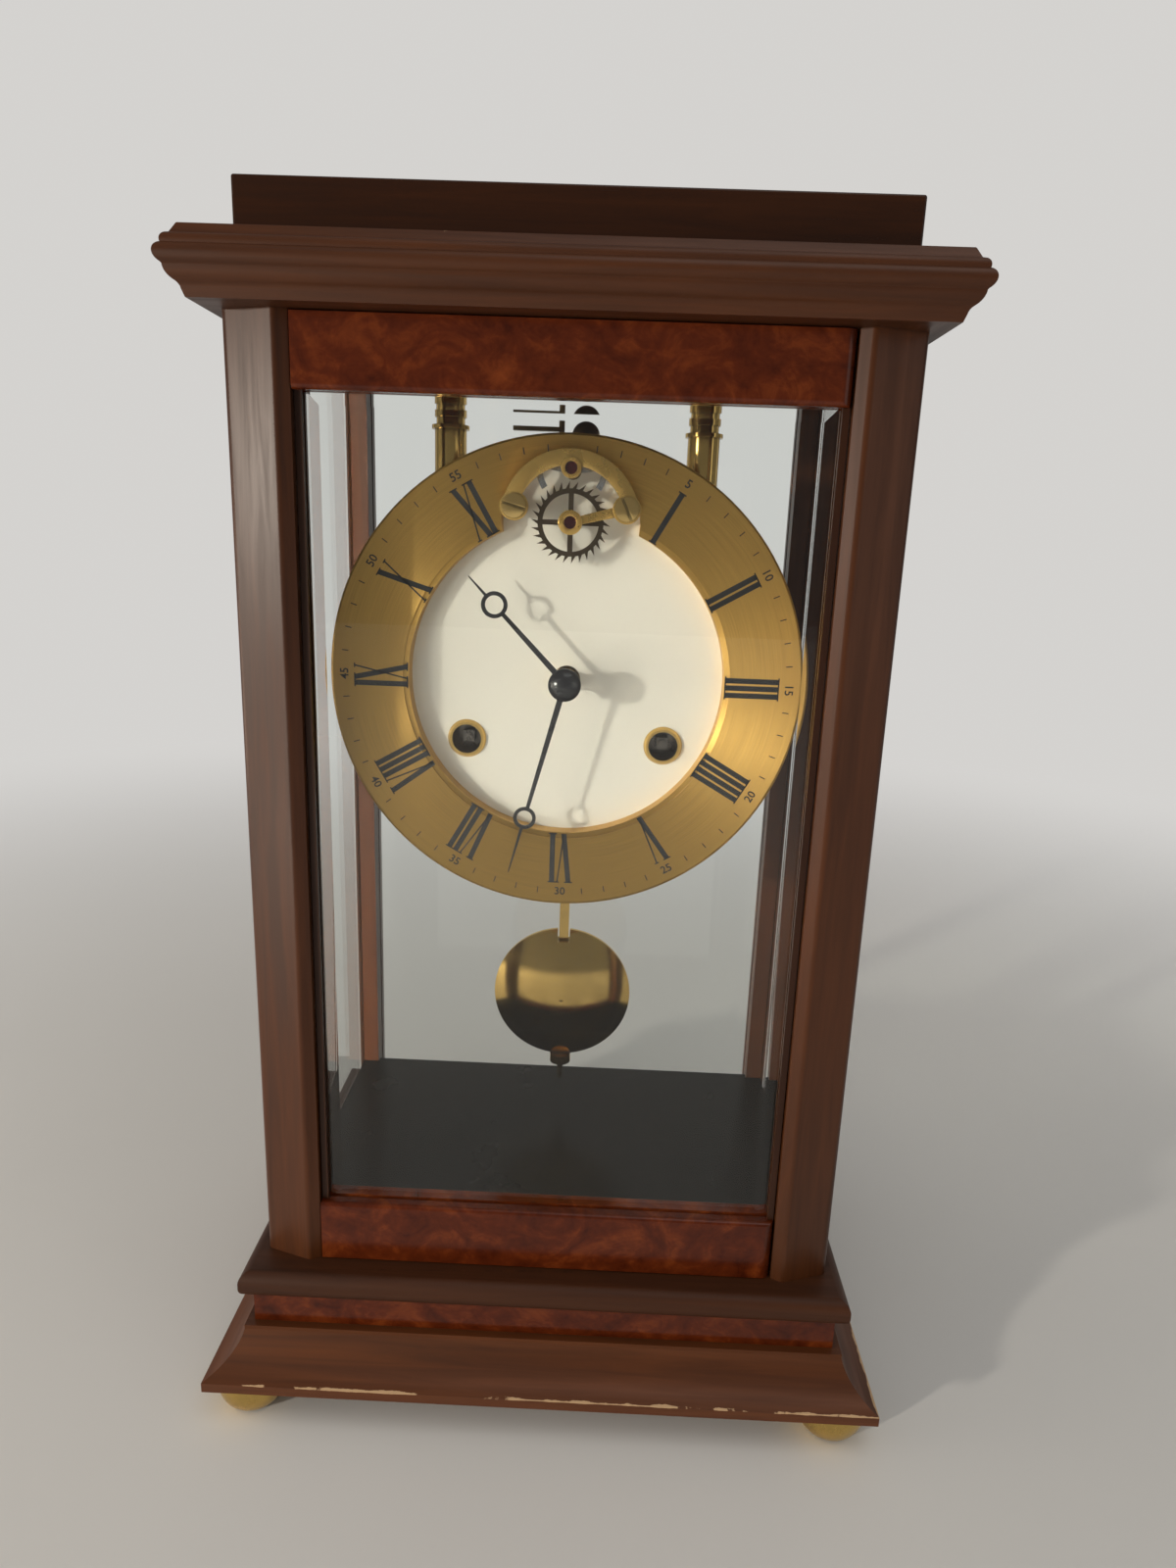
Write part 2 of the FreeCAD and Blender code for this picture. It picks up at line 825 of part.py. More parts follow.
def top_block():
    half_width = post_outer + cornice_inset - block_inset
    half_depth = half_width - depth_step
    slab = box(-half_width, half_width, -half_depth, half_depth, cornice_high, cornice_high + block_height)
    top = cornice_high + block_height
    edges = [edge for edge in slab.Edges if edge.BoundBox.ZMax > top - block_round]
    return slab.makeFillet(block_round, edges)


# Front door
def door_glass_seat():
    return placed(pane_seat(door_pane_half_width, door_low_high, door_top_low), 0, front_pane_reach, 0)


def front_glass():
    return placed(pane(door_pane_half_width, door_low_high, door_top_low), 0, front_pane_reach, 0)


def hinge_corner(low, high):
    """What is cut from the door's hinged corner, to leave it round about the pin."""
    corner = box(pin_x, door_half_width, -rail_outer, pin_y, low, high)
    return corner.cut(column(pin_x, pin_y, hinge_pin_inset, low, high))


def door_rails():
    low, high = case_low + door_gap, case_high - door_gap
    hole = hinge_pin_bite + door_gap
    pieces = []
    for start, end, bevelled_high in [(low, door_low_high, True), (door_top_low, high, False)]:
        bar = rail(door_half_width, rail_thickness, start, end, bevelled_high)
        bar.translate(Vector(0, -rail_outer, 0))
        mouth = start if bevelled_high else end - hole
        bore = column(pin_x, pin_y, hinge_pin_radius + hinge_running_gap, mouth, mouth + hole)
        pieces.append(cut_by(bar, [hinge_corner(start, end), door_glass_seat(), bore]))
    return group(pieces)


def door_stiles():
    outer = door_half_width
    back = -front_pane_reach + pane_edge
    stile = box(outer - door_stile_width, outer, back - door_stile_depth, back, door_low_high, door_top_low)
    tools = [door_glass_seat(), hinge_corner(door_low_high, door_top_low)]
    return group(both_sides(cut_by(stile, tools)))


def door_hinge_pins():
    low = column(pin_x, pin_y, hinge_pin_radius, case_low - hinge_pin_bite, case_low + hinge_pin_bite)
    high = column(pin_x, pin_y, hinge_pin_radius, case_high - hinge_pin_bite, case_high + hinge_pin_bite)
    return group([low, high])


# Dial
def lobed_outline(radius, lobe_radius):
    """Circle about the hand centre with a round lobe about the escape arbor."""
    along = (radius**2 - lobe_radius**2 + escape_rise**2) / (2 * escape_rise)
    half = math.sqrt(radius**2 - along**2)
    return [
        (half, along), ((0, -radius), (-half, along)), ((0, escape_rise + lobe_radius), (half, along))]


def dial_ring():
    opening = lobed_outline(dial_opening_radius, bite_radius)
    rim = lobed_outline(dial_opening_radius + dial_rim_width, bite_radius)
    disc = rod(hub, dial_radius, dial_front, dial_back)
    step = sheet(rim, dial_front, dial_front + dial_rim_drop)
    return cut_by(disc, [sheet(opening, dial_front, dial_back), step])


def centre_dial():
    """White plate with a wall round it that reaches the ring's back."""
    block = sheet(lobed_outline(dial_opening_radius + centre_dial_lap, bite_radius + centre_dial_lap),
                  dial_back, centre_back)
    tools = [sheet(lobed_outline(dial_opening_radius, bite_radius), dial_back, centre_front)]
    holes = [
        (hub, hub_radius), (going_place, grommet_collar()), (strike_place, grommet_collar()),
        (escape_place, pallet_hub_radius), (pallet_place, pallet_hub_radius)]
    holes += [(place, bridge_post_radius) for place in bridge_post_places()]
    tools += [rod(place, radius, centre_front, centre_back) for place, radius in holes]
    return cut_by(block, tools)


def grommet_collar():
    return (grommet_radius + winding_hole_radius) / 2


def winding_grommets():
    pieces = []
    for place in (going_place, strike_place):
        collar = grommet_collar()
        front = centre_front - grommet_thickness
        path = [
            (winding_hole_radius, centre_back), (winding_hole_radius, front), (collar, front),
            (grommet_radius, centre_front), (collar, centre_front), (collar, centre_back),
            (winding_hole_radius, centre_back)]
        pieces.append(revolved(path, place, 0))
    return group(pieces)


def dial_feet():
    places = [(dial_foot_half_spacing, dial_foot_rise), (dial_foot_low_half_spacing, -dial_foot_drop)]
    pieces = []
    for x, z in places:
        pieces += both_sides(rod((x, z), dial_foot_radius, centre_back, front_plate_front))
    return group(pieces)


# Hands
def ring_hand(reach, ring_reach, ring_radius, ring_wall, bore, y0, turn_share):
    """Slim tapering hand with a ring near its tip."""
    root, neck, tip = hand_root_half_width, hand_neck_half_width, hand_tip_half_width
    y1 = y0 + hand_thickness
    ring_place = (0, ring_reach)
    path = [
        (-root, 0), (-neck, ring_reach), (-tip, reach),
        (tip, reach), (neck, ring_reach), (root, 0), (-root, 0)]
    hand = fused([sheet(path, y0, y1), rod(ring_place, ring_radius, y0, y1), rod(hub, hub_radius, y0, y1)])
    hand = cut_by(hand, [rod(ring_place, ring_radius - ring_wall, y0, y1), rod(hub, bore, y0, y1)])
    hand.rotate(Vector(0, 0, hub_z), Vector(0, 1, 0), 360 * turn_share)
    return hand


hour_hand_y = dial_front - hour_hand_stand
minute_hand_y = dial_front - minute_hand_stand
hand_arbor_front = minute_hand_y - hand_nut_thread
cannon_radius = centre_arbor_radius + cannon_wall
hour_pipe_radius = cannon_radius + running_gap + hour_pipe_wall


def minute_hand():
    return ring_hand(minute_hand_reach, minute_ring_reach, minute_ring_radius, minute_ring_wall,
                     cannon_radius, minute_hand_y, minute_turn_share)


def hour_hand():
    return ring_hand(hour_hand_reach, hour_ring_reach, hour_ring_radius, hour_ring_wall,
                     hour_pipe_radius, hour_hand_y, hour_turn_share)


def hand_nut():
    """Grooved nut with a domed top."""
    wide, narrow = hand_nut_radius - hand_nut_step / 2, hand_nut_radius - hand_nut_step
    flange_front = minute_hand_y - hand_nut_flange
    ring_back = flange_front - hand_nut_groove
    ring_front = ring_back - hand_nut_flange
    dome_back = ring_front - hand_nut_groove
    dome_top = minute_hand_y - hand_nut_height - dome_back
    nut = fused([
        rod(hub, hand_nut_radius, flange_front, minute_hand_y), rod(hub, narrow, dome_back, flange_front),
        rod(hub, wide, ring_front, ring_back), cap(wide, 0, dome_top, hub, dome_back)])
    return nut.cut(rod(hub, centre_arbor_radius, hand_arbor_front, minute_hand_y))


# Movement frame
def pillar_places():
    low = [(pillar_low_half_spacing, -pillar_low_drop), (-pillar_low_half_spacing, -pillar_low_drop)]
    high = [(pillar_high_half_spacing, pillar_high_rise), (-pillar_high_half_spacing, pillar_high_rise)]
    return low + high


def train_places():
    return [second_place, third_place, pin_place, warning_place, fly_place]


def movement_plate(y0, y1):
    w, up, down, c = plate_half_width, plate_rise, plate_drop, plate_corner
    path = [(-w + c, -down), (w - c, -down), (w, -down + c), (w, up - c), (w - c, up), (-w + c, up),
            (-w, up - c), (-w, -down + c), (-w + c, -down)]
    return sheet(path, y0, y1)


def front_plate():
    plate = movement_plate(front_plate_front, front_plate_back)
    holes = pivot_holes(train_places() + [hammer_place])
    holes.append(rod(hub, centre_arbor_radius + running_gap, front_plate_front, front_plate_back))
    holes.append(rod(escape_place, arbor_radius + running_gap, front_plate_front, front_plate_back))
    for place in (going_place, strike_place):
        holes.append(rod(place, winding_arbor_radius + running_gap, front_plate_front, front_plate_back))
    return cut_by(plate, holes)


def back_plate():
    plate = movement_plate(back_plate_front, back_plate_back)
    holes = pivot_holes(train_places() + [hub, escape_place])
    holes.append(rod(hammer_place, arbor_radius + running_gap, back_plate_front, back_plate_back))
    for place in (going_place, strike_place):
        holes.append(rod(place, winding_arbor_radius + running_gap, back_plate_front, back_plate_back))
    return cut_by(plate, holes)


def hexagon(place, radius, y0, y1):
    path = [polar(place, radius, 60 * index) for index in range(6)]
    return sheet(path + [path[0]], y0, y1)


def plate_pillars():
    pieces = []
    for place in pillar_places():
        pieces.append(rod(place, pillar_radius, front_plate_back, back_plate_front))
        for start in (front_plate_front - pillar_nut_height, back_plate_back):
            pieces.append(hexagon(place, pillar_nut_radius, start, start + pillar_nut_height))
    return group(pieces)


def hanger_blocks():
    half = hanger_width / 2
    top = hub_z + plate_rise - hanger_drop
    block = box(hanger_half_spacing - half, hanger_half_spacing + half, front_plate_back, back_plate_front,
                top - hanger_height, top)
    return group(both_sides(block))


def hanging_pillars():
    low = hub_z + plate_rise - hanger_drop
    ring_high = case_high - hanging_ring_drop
    x, y = hanger_half_spacing, plate_middle
    body = column(x, y, hanging_pillar_radius, low, ring_high)
    neck = column(x, y, hanging_neck_radius, ring_high, case_high)
    ring = column(x, y, hanging_ring_radius, ring_high, ring_high + hanging_ring_height)
    collar_low = ring_high + hanging_ring_height + hanging_ring_gap
    collar = column(x, y, hanging_pillar_radius, collar_low, case_high - hanging_collar_height)
    flange = column(x, y, hanging_collar_radius, case_high - hanging_collar_height, case_high)
    return group(both_sides(fused([body, neck, ring, collar, flange])))


# Going train
centre_module = module_of(hub, third_place, centre_teeth, third_pinion_teeth)
third_module = module_of(third_place, escape_place, third_teeth, escape_pinion_teeth)
great_module = module_of(going_place, second_place, great_teeth, second_pinion_teeth)
second_module = module_of(second_place, hub, second_teeth, centre_pinion_teeth)
pin_great_module = module_of(strike_place, pin_place, great_teeth, second_pinion_teeth)
pin_module = module_of(pin_place, warning_place, second_teeth, warning_pinion_teeth)
warning_module = module_of(warning_place, fly_place, warning_teeth, fly_pinion_teeth)


def centre_wheel():
    turn = meshed_turn(second_place, hub, second_teeth, centre_pinion_teeth, 0)
    return fused([
        wheel(hub, centre_teeth, centre_module, 0, *layer(centre_layer_shares), 5),
        pinion(hub, centre_pinion_teeth, second_module, turn, *layer(centre_pinion_layer_shares)),
        rod(hub, centre_arbor_radius, hand_arbor_front, back_plate_front - running_gap),
        rod(hub, pivot_radius, back_plate_front - running_gap, back_plate_back)])


def third_wheel():
    turn = meshed_turn(hub, third_place, centre_teeth, third_pinion_teeth, 0)
    return fused([
        wheel(third_place, third_teeth, third_module, 0, *layer(third_layer_shares), 5),
        pinion(third_place, third_pinion_teeth, centre_module, turn, *layer(third_pinion_layer_shares)),
        arbor(third_place, arbor_radius)])


def second_wheel():
    turn = meshed_turn(going_place, second_place, great_teeth, second_pinion_teeth, 0)
    return fused([
        wheel(second_place, second_teeth, second_module, 0, *layer(second_layer_shares), 5),
        pinion(second_place, second_pinion_teeth, great_module, turn, *layer(second_pinion_layer_shares)),
        arbor(second_place, arbor_radius)])


def barrel(place, module):
    """Great wheel with the drum that holds the mainspring, running free on the winding arbor."""
    start, end = layer(great_layer_shares)
    pitch = module * great_teeth / 2
    foot = (tooth_foot_share, pitch - root_share * module)
    tooth = [(-foot[0], foot[1]), (0, pitch + tip_share * module), foot]
    great = toothed_disc(place, great_teeth, tooth, 0, start, end)
    drum_start = front_plate_back + plate_gap * drum_start_share
    drum = rod(place, barrel_radius, end, drum_start + barrel_length)
    bore = rod(place, winding_arbor_radius + running_gap, start, drum_start + barrel_length)
    return fused([great, drum]).cut(bore)


def winding_arbor(place):
    """Arbor with the winding square at its front end and the ratchet wheel on the front plate."""
    tip = centre_front + winding_square_depth
    half = winding_square / 2
    square = box(place[0] - half, place[0] + half, tip, front_plate_front, hub_z + place[1] - half,
                 hub_z + place[1] + half)
    start = ratchet_front()
    tooth = [(0, ratchet_tip_radius), (ratchet_fall_share, ratchet_root_radius)]
    ratchet = toothed_disc(place, ratchet_teeth, tooth, 0, start, start + ratchet_thickness)
    body = rod(place, winding_arbor_radius, start, back_plate_back)
    point = rod(place, winding_point_radius, tip - winding_point_length, tip)
    return fused([square, point, ratchet, body])


def ratchet_front():
    return front_plate_front - work_depth * ratchet_start_share - ratchet_thickness


def click(place, side):
    """Pawl held clear of the ratchet's tips, on a stud in the front plate."""
    degrees = click_bearing if side > 0 else 180 - click_bearing
    pivot = polar(place, click_pivot_reach, degrees)
    start = ratchet_front()
    reach = ratchet_tip_radius + click_clearance
    tip = polar(place, reach, degrees - side * click_tip_degrees)
    heel = polar(place, reach + 2 * click_half_width, degrees - side * click_heel_degrees)
    near = polar(pivot, click_half_width, degrees - side * click_near_degrees)
    far = polar(pivot, click_half_width, degrees - side * click_far_degrees)
    arm = sheet([near, tip, heel, far, near], start, start + click_thickness)
    boss = rod(pivot, click_boss_radius, start, start + click_thickness)
    stud = rod(pivot, pivot_radius, start, front_plate_front)
    return fused([arm, boss, stud])


# Motion work under the dial
cannon_module = module_of(hub, minute_wheel_place, cannon_teeth, minute_wheel_teeth)
hour_module = module_of(hub, minute_wheel_place, hour_wheel_teeth, minute_pinion_teeth)


def cannon_pinion():
    start, end = work_layer(cannon_layer_shares)
    body = fused([
        pinion(hub, cannon_teeth, cannon_module, 0, start, end),
        rod(hub, cannon_radius, minute_hand_y, end)])
    return body.cut(rod(hub, centre_arbor_radius, minute_hand_y, end))


def minute_wheel():
    turn = meshed_turn(hub, minute_wheel_place, cannon_teeth, minute_wheel_teeth, 0)
    start, end = work_layer(minute_wheel_layer_shares)
    pinion_start, pinion_end = work_layer(minute_pinion_layer_shares)
    return fused([
        wheel(minute_wheel_place, minute_wheel_teeth, cannon_module, turn, start, end, 4),
        pinion(minute_wheel_place, minute_pinion_teeth, hour_module, 0, pinion_start, end),
        rod(minute_wheel_place, pivot_radius, pinion_start, front_plate_front)])


def hour_wheel():
    turn = meshed_turn(minute_wheel_place, hub, minute_pinion_teeth, hour_wheel_teeth, 0)
    start, end = work_layer(hour_wheel_layer_shares)
    body = fused([
        wheel(hub, hour_wheel_teeth, hour_module, turn, start, end, 4),
        rod(hub, hour_pipe_radius, hour_hand_y, end)])
    return body.cut(rod(hub, cannon_radius + running_gap, hour_hand_y, end))


# Escapement
escape_front = dial_front - escape_thickness / 2
escape_back = escape_front + escape_thickness
bridge_back = dial_front - bridge_stand
bridge_front = bridge_back - bridge_thickness
cock_back = bridge_back + cock_thickness


def bridge_post_places():
    z = escape_rise + bridge_boss_rise
    return [(bridge_boss_half_spacing, z), (-bridge_boss_half_spacing, z)]


def escape_wheel():
    foot, tip, heel = escape_tooth_shares
    tooth = [(foot, escape_root_radius), (tip, escape_tip_radius), (heel, escape_root_radius)]
    disc = toothed_disc(escape_place, escape_teeth, tooth, 0, escape_front, escape_back)
    holes = windows(
        escape_place, escape_rim_radius, escape_hub_radius, escape_spoke, 4, escape_front, escape_back)
    return cut_by(disc, holes + [rod(escape_place, pivot_radius, escape_front, escape_back)])


def escape_arbor():
    turn = meshed_turn(third_place, escape_place, third_teeth, escape_pinion_teeth, 0)
    start, end = layer(escape_pinion_layer_shares)
    front = bridge_back - setting_height + jewel_drop + jewel_thickness + running_gap
    return fused([
        rod(escape_place, pivot_radius, front, back_plate_back),
        rod(escape_place, arbor_radius, escape_back, back_plate_front - running_gap),
        pinion(escape_place, escape_pinion_teeth, third_module, turn, start, end)])


def pallet_anchor():
    """Anchor with two curved pallets, their ends just outside the escape wheel's tips."""
    reach = math.sqrt(distance(pallet_place, escape_place)**2 - escape_tip_radius**2)
    inner, outer = reach - pallet_band / 2, reach + pallet_band / 2
    start = math.degrees(pallet_clearance / reach - math.atan2(reach, escape_tip_radius))
    foot, toe = polar(pallet_place, inner, start), polar(pallet_place, outer, start)
    claw = [
        foot, (polar(pallet_place, inner, start / 2), polar(pallet_place, inner, 0)),
        polar(pallet_place, outer, 0), (polar(pallet_place, outer, start / 2), toe), foot]
    y0 = (escape_front + escape_back - pallet_thickness) / 2
    y1 = y0 + pallet_thickness
    half = pallet_beam / 2
    z = pallet_rise
    beam = [(-outer, z), (outer, z), (0, z + pallet_hub_radius), (-outer, z)]
    arms = [(-inner, z), (inner, z), (0, z - half), (-inner, z)]
    pieces = both_sides(sheet(claw, y0, y1))
    pieces += [sheet(beam, y0, y1), sheet(arms, y0, y1), rod(pallet_place, pallet_hub_radius, y0, y1)]
    return fused(pieces).cut(rod(pallet_place, pivot_radius, y0, y1))


def pallet_arbor():
    """Pallet arbor with the crutch, whose fork holds the pendulum rod."""
    crutch_y = pendulum_y - spring_width / 2 - crutch_gap - crutch_thickness
    fork_low = pallet_rise - crutch_reach
    half = crutch_half_width
    slot = pendulum_rod_width / 2 + running_gap
    fork = slot + fork_wall
    fork_back = pendulum_y + pendulum_rod_thickness / 2
    z, low = pallet_rise, hub_z + fork_low
    arm = [(-half, z), (-half, fork_low), (half, fork_low), (half, z), (-half, z)]
    foot = box(-fork, fork, crutch_y, crutch_y + crutch_thickness, low, low + 2 * fork_wall)
    prong = box(slot, fork, crutch_y, fork_back, low, low + 2 * fork_wall)
    front = bridge_front + bridge_thickness / 2
    return fused([
        rod(pallet_place, pivot_radius, front, crutch_y + crutch_thickness),
        rod(pallet_place, 2 * pivot_radius, crutch_y, crutch_y + crutch_thickness),
        sheet(arm, crutch_y, crutch_y + crutch_thickness), foot] + both_sides(prong))


def bridge_posts():
    right, left = bridge_post_places()
    return group([
        rod(right, bridge_post_radius, cock_back, front_plate_front),
        rod(left, bridge_post_radius, bridge_back, front_plate_front)])


def jewel_bore(place, y0, y1):
    """Setting's front recess for the jewel, and the pivot's hole behind it."""
    jewel_back = y0 + jewel_drop + jewel_thickness
    recess = rod(place, jewel_radius, y0, jewel_back)
    hole = rod(place, pivot_radius + running_gap, jewel_back, y1)
    return [recess, hole]


def escapement_bridge():
    """Arched bridge over the escape wheel, from one post to the other."""
    z = escape_rise + bridge_boss_rise
    x = bridge_boss_half_spacing
    outer, inner = bridge_outer_radius, bridge_inner_radius
    outer_x = math.sqrt(outer**2 - bridge_boss_rise**2)
    inner_x = math.sqrt(inner**2 - bridge_boss_rise**2)
    arch = [
        (outer_x, z), ((0, escape_rise + outer), (-outer_x, z)), (-inner_x, z),
        ((0, escape_rise + inner), (inner_x, z)), (outer_x, z)]
    pieces = [sheet(arch, bridge_front, bridge_back)]
    pieces += both_sides(rod((x, z), bridge_boss_radius, bridge_front, bridge_back))
    pieces.append(rod(pallet_place, pallet_setting_radius, bridge_front - setting_height, bridge_back))
    return cut_by(fused(pieces), jewel_bore(pallet_place, bridge_front - setting_height, bridge_back))


def escape_cock():
    """Thin arm from the right post to the escape wheel's front pivot."""
    post_place = bridge_post_places()[0]
    arm = bar_outline(escape_place, post_place, cock_half_width, cock_half_width * cock_flare_share)
    pieces = [
        sheet(arm, bridge_back, cock_back), rod(post_place, bridge_boss_radius, bridge_back, cock_back),
        rod(escape_place, escape_setting_radius, bridge_back - setting_height, cock_back)]
    return cut_by(fused(pieces), jewel_bore(escape_place, bridge_back - setting_height, cock_back))


def jewels():
    pieces = []
    for place, face in [(pallet_place, bridge_front), (escape_place, bridge_back)]:
        start = face - setting_height + jewel_drop
        pieces.append(rod(place, jewel_radius, start, start + jewel_thickness))
    return group(pieces)


def bridge_screws():
    pieces = []
    for place, degrees in zip(bridge_post_places(), screw_slot_degrees):
        head = rod(place, screw_head_radius, bridge_front - screw_head_height, bridge_front)
        slot = box(-screw_head_radius, screw_head_radius, bridge_front - screw_head_height,
                   bridge_front - screw_head_height + screw_slot_depth, -screw_slot / 2, screw_slot / 2)
        slot.rotate(Vector(0, 0, 0), Vector(0, 1, 0), -degrees)
        slot.translate(Vector(place[0], 0, hub_z + place[1]))
        pieces.append(head.cut(slot))
    return group(pieces)


# Strike train, hammer and bell
def pin_wheel():
    turn = meshed_turn(strike_place, pin_place, great_teeth, second_pinion_teeth, 0)
    start, end = layer(pin_layer_shares)
    pitch = pin_module * second_teeth / 2
    pins = []
    for index in range(pin_count):
        place = polar(pin_place, pitch * pin_ring_share, 360 * (index + pin_turn_share) / pin_count)
        pins.append(rod(place, pin_radius, start, front_plate_back + plate_gap * pin_reach_share))
    return fused([
        wheel(pin_place, second_teeth, pin_module, 0, start, end, 4),
        pinion(pin_place, second_pinion_teeth, pin_great_module, turn, *layer(second_pinion_layer_shares)),
        arbor(pin_place, arbor_radius)] + pins)


def warning_wheel():
    turn = meshed_turn(pin_place, warning_place, second_teeth, warning_pinion_teeth, 0)
    return fused([
        wheel(warning_place, warning_teeth, warning_module, 0, *layer(warning_layer_shares), 4),
        pinion(warning_place, warning_pinion_teeth, pin_module, turn, *layer(warning_pinion_layer_shares)),
        arbor(warning_place, arbor_radius)])


def fly():
    turn = meshed_turn(warning_place, fly_place, warning_teeth, fly_pinion_teeth, 0)
    start, end = layer(fly_layer_shares)
    x, z = fly_place[0], hub_z + fly_place[1]
    blade = box(x - fly_reach, x + fly_reach, start, end, z - fly_thickness / 2, z + fly_thickness / 2)
    return fused([
        arbor(fly_place, arbor_radius), blade,
        pinion(fly_place, fly_pinion_teeth, warning_module, turn, *layer(fly_pinion_layer_shares))])


def hammer_head_place():
    return polar(hub, bell_radius + hammer_gap + hammer_head_radius, hammer_bearing)


def bar_outline(start, end, half_start, half_end):
    """Straight bar between two places, with its half width at each end."""
    length = distance(start, end)
    across = ((start[1] - end[1]) / length, (end[0] - start[0]) / length)

    def corner(place, half):
        return (place[0] + across[0] * half, place[1] + across[1] * half)
    corners = [corner(start, half_start), corner(end, half_end), corner(end, -half_end),
               corner(start, -half_start)]
    return corners + [corners[0]]


def hammer():
    head_place = hammer_head_place()
    arm_y = back_plate_back + hammer_arm_thickness
    head_start = bell_mouth - hammer_head_lap
    toward = math.degrees(bearing(pin_place, hammer_place))
    tail_end = polar(pin_place, hammer_tail_reach, toward)
    return fused([
        rod(hammer_place, arbor_radius, front_plate_back + running_gap, arm_y + hammer_arm_thickness),
        rod(hammer_place, pivot_radius, front_plate_front, front_plate_back + running_gap),
        sheet(bar_outline(hammer_place, tail_end, arbor_radius, arbor_radius), *layer(tail_layer_shares)),
        sheet(bar_outline(hammer_place, head_place, hammer_arm_half_width, hammer_arm_half_width),
              arm_y, arm_y + hammer_arm_thickness),
        rod(hammer_place, 2 * arbor_radius, arm_y, arm_y + hammer_arm_thickness),
        rod(head_place, hammer_stem_radius, arm_y, head_start),
        rod(head_place, hammer_head_radius, head_start, head_start + hammer_head_length)])


def bell():
    """Dished bell with its mouth towards the movement."""
    outside = cap(bell_radius, 0, bell_depth, hub, bell_mouth)
    inside = cap(bell_radius - bell_wall, 0, bell_depth - bell_wall, hub, bell_mouth)
    hole = rod(hub, bell_stud_radius, bell_mouth, bell_mouth + bell_depth)
    return cut_by(outside, [inside, hole])


def bell_stand():
    """Post on the back plate, an arm across the bell's mouth, and the stud that carries the bell."""
    foot_place = (bell_stand_place, 0)
    arm_back = bell_mouth - fit_gap
    arm_front = arm_back - bell_arm_thickness
    bell_top = bell_mouth + bell_depth
    return fused([
        rod(foot_place, bell_stand_radius, back_plate_back, arm_back),
        sheet(bar_outline(foot_place, hub, bell_arm_half_width, bell_arm_half_width), arm_front, arm_back),
        rod(hub, bell_arm_half_width, arm_front, arm_back),
        rod(hub, bell_stud_radius, arm_back, bell_top + bell_nut_height),
        rod(hub, 2 * bell_stud_radius, arm_back, bell_top - bell_wall - fit_gap),
        rod(hub, bell_nut_radius, bell_top, bell_top + bell_nut_height)])


# Suspension and pendulum
def back_cock():
    """Cock on the back plate: it holds the pallet arbor's rear pivot and the suspension."""
    start = back_plate_back
    end = start + cock_plate_thickness
    middle = (start + end) / 2
    half = suspension_block_width / 2
    block_low = cock_top - suspension_block_height
    wide, narrow = cock_plate_half_width, cock_plate_top_half_width
    outline = [(-wide, cock_plate_low), (wide, cock_plate_low), (narrow, cock_top), (-narrow, cock_top)]
    arm = box(-half, half, start, pendulum_y + spring_width / 2, hub_z + block_low, hub_z + cock_top)
    body = fused([sheet(outline + outline[:1], start, end), arm] + top_fittings(middle, start, end))
    hole = rod(pallet_place, pivot_radius + running_gap, start, end)
    return cut_by(body, [spring_slot(0, block_low, cock_top), hole])


def top_fittings(middle, start, end):
    """Peg, side lever and dome-headed screw that stand on the cock, in view above the dial."""
    foot = hub_z + cock_top - top_peg_bite
    peg_top = hub_z + cock_top + top_peg_length
    dome_low = hub_z + cock_top + top_dome_lift
    lever_low = peg_top - top_lever_drop
    peg = column(top_peg_place, middle, top_peg_radius, foot, peg_top)
    neck = column(top_dome_place, middle, top_peg_radius, foot, dome_low)
    centre = Vector(top_dome_place, middle, dome_low)
    dome = Part.makeSphere(top_dome_radius, centre, Vector(0, 0, 1), 0, 90, 360)
    lever = box(top_peg_place - top_lever_reach, top_peg_place, start, end, lever_low,
                lever_low + top_lever_thickness)
    return [peg, neck, dome, lever]


def spring_slot(gap, low, high):
    """Upright slot for the spring: thin across the swing and wide from front to back."""
    half = spring_thickness / 2 + gap
    wide = spring_width / 2
    return box(-half, half, pendulum_y - wide, pendulum_y + wide, hub_z + low, hub_z + high)


def suspension_spring():
    """Spring held by the cock; its lower end stands in the slot of the pendulum's head."""
    low = pallet_rise - spring_length / 2 - spring_bite
    return spring_slot(0, low, cock_top)


def pendulum_rod():
    """Flat rod with a slotted head at the spring and the rating screw at its lower end."""
    top = pallet_rise - spring_length / 2
    half = pendulum_rod_width / 2
    thick = pendulum_rod_thickness / 2
    blade = box(-half, half, pendulum_y - thick, pendulum_y + thick, hub_z + bob_z, hub_z + top)
    wide = suspension_block_width / 2
    deep = spring_width / 2
    head_low = hub_z + top - suspension_block_height
    head = box(-wide, wide, pendulum_y - deep, pendulum_y + deep, head_low, hub_z + top)
    screw = column(0, pendulum_y, rating_screw_radius, hub_z + bob_z - rating_screw_reach, hub_z + bob_z)
    return fused([blade, head, screw]).cut(spring_slot(spring_sway, top - 2 * spring_bite, top))


def pendulum_bob():
    """Lens of two domed faces, with a notch at its top where the rod enters."""
    r, t, rim = bob_radius, bob_half_thickness, bob_rim
    place = (0, bob_z)
    faces = [cap(r, rim * side, t * side, place, pendulum_y) for side in (-1, 1)]
    lens = fused([rod(place, r, pendulum_y - rim, pendulum_y + rim)] + faces)
    half = pendulum_rod_width / 2
    thick = pendulum_rod_thickness / 2
    top = hub_z + bob_z + r
    channel = box(-half, half, pendulum_y - thick, pendulum_y + thick, hub_z + bob_z, top)
    wide = bob_notch_width / 2
    notch = box(-wide, wide, pendulum_y - t, pendulum_y + t, top - bob_notch_depth, top)
    bore = column(0, pendulum_y, rating_screw_radius, hub_z + bob_z - r, hub_z + bob_z)
    return cut_by(lens, [channel, notch, bore])


